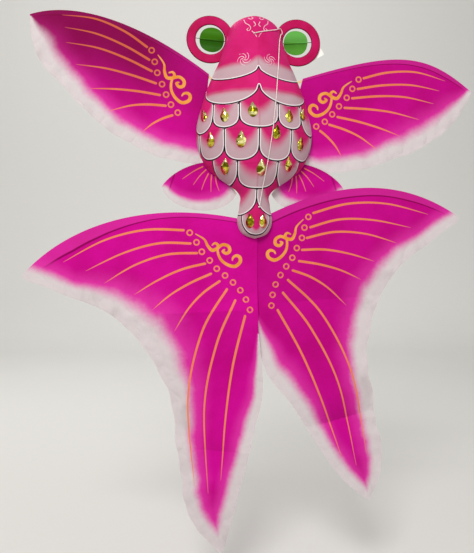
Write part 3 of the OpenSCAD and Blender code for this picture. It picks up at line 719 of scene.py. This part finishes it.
# gold foil drops pasted on the scales: across, height, size, lean
foil = {
    "drops": [(-94, -33, 1.0, 0.35), (-54, -38, 1.0, 0.1), (-10, -32, 1.05, 0.05), (50, -37, 0.95, -0.05),
              (80, -30, 0.95, -0.3), (-78, -73, 1.05, 0.1), (-27.5, -76, 1.1, 0.0), (27.5, -64, 1.0, -0.1),
              (73, -77, 0.95, -0.1), (-53, -114, 1.05, -0.1), (5, -117, 1.1, 0.0), (52, -109, 1.0, 0.15),
              (-10.5, -196, 1.0, 0.0), (11.5, -196, 1.0, 0.0)],
    "half": (7.0, 10.4), "lift": 0.22, "least": 0.16, "crown": 0.25, "crumple": 0.05, "thickness": 0.14,
    "segments": 28, "insets": (0.12, 0.28, 0.3), "narrowing": 0.62, "point": 0.16, "seed": 7,
}
leaves = bmesh.new()
rng = np.random.default_rng(foil["seed"])
for across, height, size, lean in foil["drops"]:
    leaf = bmesh.new()
    bmesh.ops.create_circle(leaf, cap_ends=True, segments=foil["segments"], radius=1.0)
    for inward in foil["insets"]:
        bmesh.ops.inset_region(leaf, faces=[f for f in leaf.faces if len(f.verts) > 4], thickness=inward)
    bmesh.ops.poke(leaf, faces=[f for f in leaf.faces if len(f.verts) > 4])
    xy = np.array([v.co[:2] for v in leaf.verts])
    r = np.hypot(*xy.T)
    narrow = 1 - foil["narrowing"] * softStep(-0.1, 1.05, xy[:, 1])  # pointed above, round below
    tall = xy[:, 1] + foil["point"] * np.maximum(xy[:, 1], 0) ** 2
    leant = turned(np.stack([xy[:, 0] * narrow * foil["half"][0] * size, tall * foil["half"][1] * size], 1), lean)
    lift = foil["lift"] + foil["crown"] * (1 - r**2) + foil["crumple"] * rng.normal(size=len(r)) * (r < 0.95)
    places = bodyPoint(across + leant[:, 0], height + leant[:, 1], np.maximum(lift, foil["least"]))
    for v, place in zip(leaf.verts, places):
        v.co = Vector(place) * mm
    faceForwards(leaf)
    single = bpy.data.meshes.new("leaf")
    leaf.to_mesh(single)
    leaves.from_mesh(single)
    leaf.free()
    bpy.data.meshes.remove(single)
foilDrops = addPiece("foilDrops", meshFrom(leaves, "foilDrops"), [foilGold], "frame")
thicken(foilDrops, foil["thickness"], -1)
print("foil drops:", len(foil["drops"]))

# fins: each lies in its own plane, u outwards from the pivot and v upwards
wing = {
    "pivot": (62.5, 28), "span": 299, "root": 134, "slopes": (19.7, 38), "lift": 3.2, "depth": -2.85, "first": 0.035,
    "cuts": (72, 36), "flat": (0.32, 0.17), "strip": (4, 5, 7, 8, 8, 5), "rayHalves": (1.9, 1.75, 1.4, 0.2),
    "sag": 1.2, "free": (95, 190), "swell": (1.3, 0.9), "looseEdge": (70, 130), "wave": (0.9, 0.5),
    "trail": [(-0.06, 1), (0.46, 1.27), (0.86, 0.52)],  # shares of span and root
    "scallops": [(0.7, 31, 0), (0.5, 67, 1)],  # height, turns, start
    # shade: painted shade; on the left wing wine red towards the upper left, partly a deeper dye and partly painted
    # shadow; on the right wing nearly even
    "left": {"side": -1, "bow": 46, "angle": 17.8, "hem": (18, 20, 21, 21, 24, 26, 3), "full": (10, 0.6),
             "shade": lambda u, v: 0.86 * softStep(-125, 12, v) * (0.5 + 0.5 * softStep(30, 140, u))},
    "right": {"side": 1, "bow": 62, "angle": -1.2, "hem": (18, 20, 22, 26, 22, 7), "full": (8, 0.45),
              "shade": lambda u, v: 0.12 + 0.16 * softStep(-90, 20, v)},
}
tail = {
    "pivot": (0, -200), "slopes": (27, 36), "lift": 4, "first": 0.06, "bow": 68, "corner": (0.4, 0.42),
    "cuts": (142, 53), "flat": (0.37, 0.51), "rayHalves": (1.9, 1.8, 1.6, 1.2, 0.2), "end": 172, "endFrom": 0.68,
    "outer": [(0.87, 0.075), (0.66, 0.20), (0.53, 0.43), (0.55, 0.68), (0.56, 0.86)],  # shares of span and drop
    "fold": 4.0, "foldFrom": 60, "foldEach": 210, "creaseAt": 190, "creaseHalf": 40, "creaseFrom": (25, 80),
    "looseFrom": ((70, 200), (30, 90)), "rimFrom": ((30, 90), (120, 170)), "rimWave": (0.9, 0.6),  # downwards, outwards
    # where the painted shade beside the folds starts, and how far it reaches above and below
    "paintedShadeFrom": (25, 60), "paintedShadeHalf": (24, 60),
    # tone: painted shade over the whole lobe, deeper on the right
    "left": {"side": -1, "span": 365, "drop": 493, "angle": -13.1, "depth": -9.25, "shift": 0, "tone": 0.02, "full": 0,
             "hem": (18, 20, 17, 28, 38, 30, 22, 20, 20, 20, 17), "strip": (6, 7, 7, 9, 13, 17, 19, 16, 8),
             "root": (-1, -16), "inner": [(29, 0.30), (46, 0.52), (76, 0.65), (122, 0.83)],
             "vee": (0.24, (2, 11, 14, 16, 17, 18, 14)),
             "creases": [(-101, 0.19, 2.6, -0.04, 0.14), (-314.6, 0.35, 3.2, 0.2, -0.04)]},
    "right": {"side": 1, "span": 338, "drop": 452, "angle": 2.2, "depth": -6.85, "shift": -15, "tone": 0.17, "full": 7,
              "hem": (16, 17, 18, 23, 27, 24, 23, 20, 19, 16, 9), "strip": (13, 13, 13, 13, 12, 12, 10, 6),
              "root": (2, -16), "inner": [(-5, 0.30), (9, 0.51), (52, 0.65), (118, 0.89)],
              "vee": (0.21, (2, 17, 23, 21, 17, 17, 12)),
              "creases": [(-121, 0.03, 2.4, 0.10, 0.0), (-305.5, 0.21, 3.1, 0.2, -0.17)]},
}  # creases: height, slope, depth, painted shade above and below
finSheet = {"thickness": 0.36, "finer": (8.0, 3.4, 0.9), "tip": (1.0, 0.2)}
ringPrint = {"radius": 4.1, "half": 1.1}
scroll = [  # curling leaf at a fin's root
    ([(99.5, 9.5), (86.5, -0.5), (82, -11.5), (75.5, -19.5), (66.8, -17.5)], (0.7, 1.7, 2.5, 2.6)),
    ([(66.8, -17.5), (65.2, -12.1), (69.6, -8.4), (74.6, -11.2)], (2.4, 2.0, 1.0)),
    ([(66.8, -17.5), (57.5, -12.2), (48.4, -15.8), (47.2, -23.5), (53.0, -27.0), (58.6, -23.2), (55.5, -20.5)],
     (2.2, 2.4, 2.7, 2.2, 1.2)),
    ([(66.8, -17.5), (66.3, -26.8), (62.3, -37), (53, -45.6), (41.4, -49.4), (32.3, -43.6), (31.6, -35.9),
      (36.6, -32.2), (42.6, -34.6), (44.4, -39)], (1.6, 2.1, 2.5, 2.8, 2.2, 1.1)),
]


def sparAt(fin, t):
    span, bow = fin["span"], fin["bow"]
    a0, a1 = (math.tan(math.radians(a)) for a in fin["slopes"])
    return bezierAt((0, 0), (bow / a0, bow), (span - bow / a1, bow), (span, 0), t)


def leadAt(fin, t):  # front edge of the silk, just past its spar
    d = sparAt(fin, t + 0.01) - sparAt(fin, t - 0.01)
    d /= np.linalg.norm(d, axis=1)[:, None]
    return sparAt(fin, t) + fin["lift"] * np.stack([-d[:, 1], d[:, 0]], 1)


def setFin(fin, flat, y):
    u, v = turned(flat, math.radians(fin["angle"])).T
    return np.stack([fin["side"] * (fin["pivot"][0] + u), y, fin["pivot"][1] + v], 1)


def ringStrokes(places):
    k = np.linspace(0, 2 * math.pi, 25)
    circle = ringPrint["radius"] * np.stack([np.cos(k), np.sin(k)], 1)
    return [(np.array(place) + circle, (ringPrint["half"],) * 2) for place in places]


def scrollStrokes(shift, lean, size):
    root = np.array(scroll[0][0][0])
    return [(root + shift + turned((smoothLine(points, 34) - root) * size, math.radians(lean)), halves)
            for points, halves in scroll]


def makeFin(name, node, riding, fin, shape, strokes, leaf, hems, lead, shade, creases=()):
    tips = [(line[len(line) * 2 // 3:], finSheet["tip"]) for line, halves in strokes if halves[-1] < 0.5]
    layers = [strokes + leaf + [(line, (0, 0)) for line in creases]] * 2 + [tips]  # made finer one after another
    mesh, flat = printedSheet(name, fin["cuts"], shape, lambda f, turn: inkDistance(f, layers[turn]),
                              finSheet["finer"])
    mark(mesh, "ink", inkDistance(flat, strokes))
    mark(mesh, "leaf", inkDistance(flat, leaf))
    mark(mesh, "hem", np.min([hemShare(flat, line, widths) for line, widths in hems], axis=0))
    mark(mesh, "lead", hemShare(flat, *lead) if lead else np.full(len(flat), deepDyed))
    # painted shade of each fin, read by the fin silk
    mark(mesh, "shade", shade(*flat.T))
    piece = addPiece(name, mesh, [finFront, finBack], riding, [node])
    thicken(piece, finSheet["thickness"], 0)


wingRays = [
    [(117.5, 15.5), (158, 27), (206, 30), (255, 18)], [(108, -2.4), (150, 5.5), (198, 8.5), (245, 1)],
    [(99, -18), (142, -12.8), (190, -12), (236, -20.5)], [(87, -34), (126, -34.6), (168, -38.5), (212, -47.5)],
    [(75.5, -49.4), (110, -55.5), (145, -64.5), (179, -76)], [(62, -62.5), (89, -70), (115, -81.5), (142, -100)],
    [(47.3, -73.4), (60, -83.2), (72.5, -96.5), (83, -113)],
]
wingRings = [(109, 13), (99, -2.5), (90, -17.5), (77.5, -32), (66.5, -45.5), (54.5, -58), (40.5, -66.5)]


def wingTrail(fin, s):
    w, d = fin["span"], fin["root"]
    line = bezierAt(*((u * w, -v * d) for u, v in fin["trail"]), (w, -3), s)
    scallops = sum(height * np.sin(turns * s + first) for height, turns, first in fin["scallops"])
    line[:, 1] += scallops * np.minimum(1, 6 * (1 - s))
    reach, start = fin["full"]  # fuller towards the tip
    line += reach * np.sin(math.pi * np.clip((s - start) / (1 - start), 0, 1))[:, None] * np.array((0.6, -0.8))
    return line


def wingShape(fin):
    def shape(share):
        s, t = share.T
        a = leadAt(fin, fin["first"] + (1 - fin["first"]) * s)
        p = a + (wingTrail(fin, s) - a) * t[:, None]
        u, v = p.T
        y = fin["depth"] + fin["sag"] * (1 - s) * (np.sin(3 * math.pi * s) * np.sin(math.pi * t)) ** 2
        swell = fin["swell"][0] + fin["swell"][1] * np.sin(0.055 * u + 0.02 * v)
        y -= softStep(*fin["free"], u) * np.sin(math.pi * t) * swell  # free of the body it swells forwards
        wave = fin["wave"][0] * np.sin(0.16 * u + 0.05 * v) + fin["wave"][1] * np.sin(0.31 * u)
        y += softStep(*fin["looseEdge"], u) * t**5 * wave
        return p, setFin(fin, p, y)
    return shape


for sideName in ("left", "right"):
    fin = {**wing, **wing[sideName]}
    strokes = [(smoothLine(ray, 26), fin["rayHalves"]) for ray in wingRays] + ringStrokes(wingRings)
    hems = [(wingTrail(fin, np.linspace(0, 1, 60)), fin["hem"])]
    lead = (leadAt(fin, np.linspace(0.02, 1, 60)), fin["strip"])
    makeFin(sideName + "WingSilk", sideName + "_wing_silk", sideName + "_wing", fin,
            wingShape(fin), strokes, scrollStrokes((-2, 0), 0, 1.0), hems, lead, fin["shade"])

tailRays = [
    [(111.7, 16.5), (170, 30), (235, 28), (303, 9)], [(105.9, -6.2), (155, 5), (212, 2), (273, -12)],
    [(99.5, -23.2), (146, -15), (198, -20), (250, -37)], [(90.8, -42.2), (129, -43), (170, -51.5), (210, -65)],
    [(85.2, -60), (119, -66.5), (154, -77.5), (187, -94)], [(74.4, -74.5), (104, -86.5), (133, -106), (162.5, -135.5)],
    [(66, -89.4), (120, -146), (165, -243), (186, -378)], [(57.4, -109.6), (102, -170), (143, -262), (168, -395)],
    [(48, -137.2), (84, -208), (116, -292), (144, -380)],
]
tailRings = [(103.1, 10.5), (96.1, -6.6), (91.3, -22.9), (82.3, -39), (74.4, -54.2), (64, -67.7), (54.2, -81.2),
             (45.8, -96), (40.5, -112.3), (38.1, -129.5)]


def tailOuter(fin, s):
    w, d = fin["span"], fin["drop"]
    line = curveAt([(w, -4), *((u * w, -v * d) for u, v in fin["outer"]), (fin["end"], -d)], s * 6)
    scallops = 0.8 * np.sin(43 * s) + (0.2 + softStep(0.34, 0.5, s)) * np.sin(91 * s + 2)
    line[:, 0] += scallops * np.sin(math.pi * s)
    rounder = np.clip((s - fin["endFrom"]) / (1 - fin["endFrom"]), 0, 1)
    line[:, 0] += fin["full"] * np.sin(math.pi * rounder)
    return line


def tailInner(fin, s):
    d = fin["drop"]
    return curveAt([fin["root"], *((u, -v * d) for u, v in fin["inner"]), (164, 4 - d)], s * 5)


def tailShape(fin):
    spar, corner = fin["corner"]

    def shape(share):
        s, t = share.T
        along = leadAt(fin, fin["first"] + (1 - fin["first"]) * np.clip(s / spar, 0, 1))
        outer = tailOuter(fin, np.clip((s - corner) / (1 - corner), 0, 1))
        a = along + (outer - along) * np.clip((s - spar) / (corner - spar), 0, 1)[:, None]
        b = tailInner(fin, np.interp(s, (0, spar, corner, 1), (0, 0.10, 0.105, 1)))
        p = a + (b - a) * t[:, None]
        u, v = p.T
        fall = np.maximum(0, -v - fin["foldFrom"]) / fin["foldEach"]
        y = fin["depth"] + fin["side"] * fin["fold"] * (1 - np.cos(2 * math.pi * fall)) / 2
        down, out = fin["looseFrom"]
        loose = softStep(*down, -v) * softStep(*out, u)  # soft hanging folds down the lobe
        y += fin["side"] * loose * (0.5 + 0.5 * np.sin(0.07 * u + 0.012 * v + 0.6))
        down, out = fin["rimFrom"]
        rim = softStep(*out, u) * (1 - t) ** 4 * softStep(*down, -v)  # waves along the outer edge
        wave = fin["rimWave"][0] * np.sin(0.11 * v) + fin["rimWave"][1] * np.sin(0.23 * v + 0.05 * u)
        y += fin["side"] * rim * wave
        for level, slope, height, _, _ in fin["creases"]:
            off = np.abs(v - level - slope * (u - fin["creaseAt"]))
            ridge = np.maximum(0, 1 - off / fin["creaseHalf"]) ** 1.3
            y += fin["side"] * height * ridge * softStep(*fin["creaseFrom"], u)
        return p, setFin(fin, p, y)
    return shape


def paintedFoldShade(fin, u, v):  # painted shade and painted light beside the pressed folds, on top of an even painted shade
    tone = np.full(len(u), fin["tone"])
    for level, slope, _, above, below in fin["creases"]:
        off = v - level - slope * (u - fin["creaseAt"])
        upper, lower = (np.exp(-np.abs(off) / half) for half in fin["paintedShadeHalf"])
        tone += np.where(off > 0, above * upper, below * lower) * softStep(*fin["paintedShadeFrom"], u)
    return np.maximum(tone, 0)


for sideName in ("left", "right"):
    fin = {**tail, **tail[sideName]}
    shift = np.array((fin["shift"], 0))
    strokes = [(smoothLine(np.array(ray) + shift, 30), fin["rayHalves"]) for ray in tailRays]
    strokes += ringStrokes(np.array(tailRings) + shift)
    veeStart, veeWidths = fin["vee"]
    hems = [(tailOuter(fin, np.linspace(0, 1, 90)), fin["hem"]),
            (tailInner(fin, np.linspace(veeStart, 1, 60)), veeWidths)]
    lead = (leadAt(fin, np.linspace(0.02, 1, 80)), fin["strip"])
    u = np.linspace(20, 215, 40)
    creases = [np.stack([u, level + slope * (u - fin["creaseAt"])], 1) for level, slope, *_ in fin["creases"]]
    makeFin(sideName + "TailSilk", sideName + "_tail_silk", sideName + "_tail", fin,
            tailShape(fin), strokes, scrollStrokes(shift + (-5, -3), 7, 0.97), hems, lead,
            lambda u, v: paintedFoldShade(fin, u, v), creases)

# small fins behind the hips
pelvic = {
    "depth": -4.65, "curl": 0.3, "cuts": (34, 18), "flat": (0.12, 0.09), "hem": (12, 14, 12, 9),
    # tone: painted shade, plain, towards the root and along the fold
    "rayHalves": (0.95, 0.3), "tone": (0.15, 0.25, 0.5), "paintedShadeFrom": (-128, -104), "foldHalf": (1.6, 0.2),
    "lead": [(64, -100), (98, -100), (132, -118), (146, -140)], "fold": [(124, -114), (130, -131), (135.5, -148)],
    "trail": [(28, -150), (46, -190), (124, -184), (144, -148)],
    "rays": [[(82, -108), (97, -116), (114, -128)], [(77, -113), (87, -123), (97, -137)],
             [(73, -119), (79, -131), (84, -145)], [(68, -121), (69, -134), (69, -148)],
             [(62, -124), (60, -135), (56, -146)]],
}
pelvicFold = smoothLine(pelvic["fold"], 12)


def pelvicShape(side):
    def shape(share):
        a, b = (bezierAt(*pelvic[edge], share[:, 0]) for edge in ("lead", "trail"))
        p = a + (b - a) * share[:, 1][:, None]
        y = pelvic["depth"] - pelvic["curl"] * np.sin(0.09 * p[:, 0]) * share[:, 1] ** 2
        return p, np.stack([side * p[:, 0], y, p[:, 1]], 1)
    return shape


# painted shade: an even darkening, more towards the root, and a dark line along the fold
def pelvicShade(u, v):
    plain, root, fold = pelvic["tone"]
    folded = softStep(*pelvic["foldHalf"], strokeDistance(np.stack([u, v], 1), pelvicFold, (0.3, 0.3)))
    return plain + root * softStep(*pelvic["paintedShadeFrom"], v) + fold * folded


for sideName, side in (("left", -1), ("right", 1)):
    strokes = [(smoothLine(ray, 14), pelvic["rayHalves"]) for ray in pelvic["rays"]]
    hems = [(bezierAt(*pelvic["trail"], np.linspace(0, 1, 40)), pelvic["hem"])]
    makeFin(sideName + "SmallFinSilk", sideName + "_pelvic_silk", "frame", pelvic,
            pelvicShape(side), strokes, [], hems, None, pelvicShade, [pelvicFold])

# eye rings: silk drawn over two hoops
eye = {
    "centre": (70, 94), "steps": 96, "thickness": 0.3,
    "profile": [(23.4, -3.3), (23.7, -4.1), (24.3, -4.45), (25.2, -4.6), (27.2, -4.6), (30.5, -4.42), (34.0, -4.6),
                (36.1, -4.6), (36.9, -4.45), (37.5, -4.1), (37.7, -3.3)],  # radius, depth
}
for sideName, side in (("left", -1), ("right", 1)):
    ring = bmesh.new()
    centre = Vector((side * eye["centre"][0], 0, eye["centre"][1])) * mm
    rail = [ring.verts.new(centre + Vector((r, y, 0)) * mm) for r, y in eye["profile"]]
    edges = [ring.edges.new(pair) for pair in zip(rail[:-1], rail[1:])]
    bmesh.ops.spin(ring, geom=rail + edges, cent=centre, axis=(0, 1, 0), angle=2 * math.pi, steps=eye["steps"],
                   use_merge=True)
    bmesh.ops.remove_doubles(ring, verts=ring.verts, dist=1e-7)
    bmesh.ops.recalc_face_normals(ring, faces=ring.faces)
    faceForwards(ring)
    for edge in ring.edges:
        edge.smooth = not edge.is_boundary
    mesh = meshFrom(ring, sideName + "EyeSilk")
    radii = np.array([math.hypot(v.co.x - centre.x, v.co.z - centre.z) for v in mesh.vertices]) / mm
    mark(mesh, "rim", np.minimum(radii - eye["profile"][0][0], eye["profile"][-1][0] - radii))
    piece = addPiece(sideName + "EyeSilk", mesh, [eyePink], "frame", [sideName + "_eye_silk"])
    thicken(piece, eye["thickness"], 0)
print("eye rings made")


# bamboo and vanes: the frame's own solids, with softened edges or smooth over their curve
finishes = {
    "softened": [(0.35, bambooUp, ["spine", "keel_bow", "left_side_strip", "right_side_strip"]),
                 (0.35, bambooAcross, ["head_rib", "shoulder_rib", "belly_rib", "hip_rib", "cap_rib", "eye_crossbar",
                                       "shoulder_crossbar", "hip_crossbar", "waist_crossbar", "tail_crossbar"]),
                 (0.2, bambooAcross, ["left_wing_spar", "right_wing_spar", "left_tail_spar", "right_tail_spar",
                                      "left_pelvic_splint", "right_pelvic_splint"])],  # edge width, finish, nodes
    "kept": {"left_eye_hoop": bambooUp, "right_eye_hoop": bambooUp, "left_eye_axle": wireIron,
             "right_eye_axle": wireIron, "left_wing_pin": pegWood, "right_wing_pin": pegWood, "tail_pin": pegWood},
    "vanes": {"left_eye_vane": shadedGreen, "right_eye_vane": litGreen},
    "joined": 2e-6, "flatWithin": 0.6, "sharpPast": 40, "smoothWithin": 32,
}


def solidCopy(node):
    solid = bmesh.new()
    solid.from_mesh(frame["nodes"][node].data)
    bmesh.ops.remove_doubles(solid, verts=solid.verts, dist=finishes["joined"])
    return solid


def softened(node, width, material):
    bar = solidCopy(node)
    bmesh.ops.dissolve_limit(bar, angle_limit=math.radians(finishes["flatWithin"]), verts=bar.verts, edges=bar.edges)
    sharp = [e for e in bar.edges if e.is_manifold and e.calc_face_angle() > math.radians(finishes["sharpPast"])]
    bmesh.ops.bevel(bar, geom=sharp, offset=width * mm, offset_type="OFFSET", affect="EDGES", segments=2, profile=0.5,
                    material=-1, clamp_overlap=True)
    bmesh.ops.recalc_face_normals(bar, faces=bar.faces)
    addPiece(node + "Bamboo", meshFrom(bar, node + "Bamboo", False), [material], bodyOf[node], [node])


for width, material, nodes in finishes["softened"]:
    for node in nodes:
        softened(node, width, material)
for node, material in finishes["kept"].items():
    frame["nodes"][node].data.materials.clear()
    frame["nodes"][node].data.materials.append(material)
for node, material in finishes["vanes"].items():
    vane = solidCopy(node)
    for edge in vane.edges:
        edge.smooth = edge.is_manifold and edge.calc_face_angle() < math.radians(finishes["smoothWithin"])
    addPiece(node + "Paper", meshFrom(vane, node + "Paper"), [material], bodyOf[node], [node])
print("bamboo softened, vanes smoothed")

# thread lashings wound round the crossbars, crossed over the spine
lashing = {
    "thread": 0.24, "turns": 6, "bar": (3.0, 6.0), "front": -8.0, "width": 2.6, "hug": 0.8, "beside": (-0.5, 0, 0.5),
    "bands": [(94, (5, 28)), (28, (5, 52)), (-100, (5, 57)), (-136, (5, 25))],  # height, distances from the spine
    "quarters": (0, 0.8, 1, 1.8, 2, 2.8, 3, 3.8, 4), "sweep": (-1, 1, 1, 1, 1, -1, -1, -1, -1),
    "rise": (-1, -1, -0.7, 0.7, 1, 1, 0.7, -0.7, -1),
}
depth, tall = lashing["bar"]
snug = lashing["thread"] * lashing["hug"]
front = lashing["front"] - lashing["thread"]
overBar = [(-5.2, -6.5, -2.6), (-4.2, front, -2.4), (0, front - 0.15, 0), (4.2, front, 2.4), (5.2, -6.5, 2.6)]
roundSpine = [(4.4, -4.6, 3.0), (3.3, -2.5, 3.3), (3.1, 0.1, 3.5), (0, 0.26, 3.9), (-3.1, 0.1, 3.5), (-3.3, -2.5, 3.3),
              (-4.4, -4.6, 3.0)]
steps = np.linspace(0, lashing["turns"] * 4, lashing["turns"] * 32)
sweep, rise = (np.interp(steps % 4, lashing["quarters"], lashing[way]) for way in ("sweep", "rise"))
paths = []
for height, offsets in lashing["bands"]:
    for across in [side * x for x in offsets for side in (-1, 1)]:
        x = across - lashing["width"] / 2 + lashing["width"] * steps / steps[-1]
        y = lashing["front"] + depth / 2 + sweep * (depth / 2 + snug)
        paths.append(np.stack([x, y, height + rise * (tall / 2 + snug)], 1).tolist())
    for lean in (-1, 1):  # crossing turns over bar and spine
        for beside in lashing["beside"]:
            for stretch, count in ((overBar, 18), (roundSpine, 26)):
                line = smoothLine(np.array(stretch) * (1, 1, lean), count)
                paths.append([(x, y, height + z + beside) for x, y, z in line])
addPiece("threadLashings", roundLine("threadLashings", paths, lashing["thread"]), [threadCotton],
         "frame", ["frame_lashings"])
print("lashings wound:", len(paths))

# blank card tucked behind the right eye
tag = {"corner": (115, -1.45, 78), "size": (34, 12), "lean": 31, "thickness": 0.45, "round": 2.2, "curl": 0.35}
tagLong, tagWide = tag["size"]
card = bmesh.new()
bmesh.ops.create_grid(card, x_segments=1, y_segments=1, size=0.5)
bmesh.ops.scale(card, vec=(tagLong, tagWide, 1), verts=card.verts)
bmesh.ops.bevel(card, geom=card.verts[:], offset=tag["round"], offset_type="OFFSET", affect="VERTICES", segments=5,
                profile=0.5, material=-1)
for cut in np.linspace(-0.42, 0.42, 12):
    bmesh.ops.bisect_plane(card, geom=card.verts[:] + card.edges[:] + card.faces[:], plane_co=(cut * tagLong, 0, 0),
                           plane_no=(1, 0, 0))
for v in card.verts:
    x, z = v.co.x - tagLong / 2, v.co.y + tagWide / 2
    bend = tag["curl"] * math.sin(math.pi * (x / tagLong + 1))
    across, up = turned(np.array([(x, z)]), math.radians(tag["lean"]))[0]
    v.co = Vector((tag["corner"][0] + across, tag["corner"][1] + bend, tag["corner"][2] + up)) * mm
card.normal_update()
paperTag = addPiece("paperTag", meshFrom(card, "paperTag", False), [tagCard], "frame", ["paper_tag"])
thicken(paperTag, tag["thickness"], 0)
print("card made")

# pale floor that sweeps up far behind, soft light
stage = {
    "floor": -0.80, "back": 5.0, "bend": 1.6, "front": -6, "length": 18, "width": 16,
    "near": (0.60, 0.595, 0.575, 1), "far": (0.79, 0.785, 0.76, 1), "change": (1.9, 4.9),
    "room": (1.0, 0.985, 0.97, 1), "roomLight": 0.48,
    "lamps": {"key": ((-0.7, -2.2, 1.4), (0, 0, -0.45), 58, 0.8, (1.0, 0.97, 0.94)),
              "fill": ((2.2, -1.8, 0.2), (0, 0, -0.25), 9, 2.0, (0.94, 0.97, 1.0)),
              "back": ((-1.2, 1.8, 1.9), (0, 0, -0.25), 40, 1.4, (1.0, 0.99, 0.98)),
              "wash": ((0, 1.2, 3.0), (0, 5.0, 1.2), 62, 2.6, (1.0, 0.99, 0.97))},  # place, aim, power, size, colour
}
sweep = bmesh.new()
bmesh.ops.create_grid(sweep, x_segments=4, y_segments=80, size=0.5)
flatRun = stage["back"] - stage["bend"]
for v in sweep.verts:
    run = (v.co.y + 0.5) * stage["length"] + stage["front"]
    arc = min(max((run - flatRun) / stage["bend"], 0), math.pi / 2)
    up = stage["bend"] * (1 - math.cos(arc)) + max(0, run - flatRun - stage["bend"] * math.pi / 2)
    v.co = (v.co.x * stage["width"], min(run, flatRun) + stage["bend"] * math.sin(arc), stage["floor"] + up)
floorMaterial, floorShader, start = newMaterial("paleFloor", {"Specular IOR Level": 0.2})
place = start.objectPlace()
spot = place.noise(3.0, 3.0)
away = (place.axis("Y") + spot * 0.3).step(*stage["change"])
feed(floorShader, {"Base Color": away.blend(stage["near"], stage["far"]), "Roughness": spot * 0.1 + 0.75})
floor = putInScene("paleFloor", meshFrom(sweep, "paleFloor"))
floor.data.materials.append(floorMaterial)

world = bpy.data.worlds.new("softRoom")
bpy.context.scene.world = world
world.use_nodes = True
world.node_tree.nodes["Background"].inputs["Color"].default_value = stage["room"]
world.node_tree.nodes["Background"].inputs["Strength"].default_value = stage["roomLight"]
for name, (place, aim, power, size, colour) in stage["lamps"].items():
    lampData = bpy.data.lights.new(name, "AREA")
    lampData.energy, lampData.size, lampData.color = power, size, colour
    lamp = putInScene(name, lampData)
    lamp.location = place
    lamp.rotation_euler = (Vector(aim) - Vector(place)).to_track_quat("-Z", "Y").to_euler()
print("stage and lights made")

bpy.context.view_layer.update()
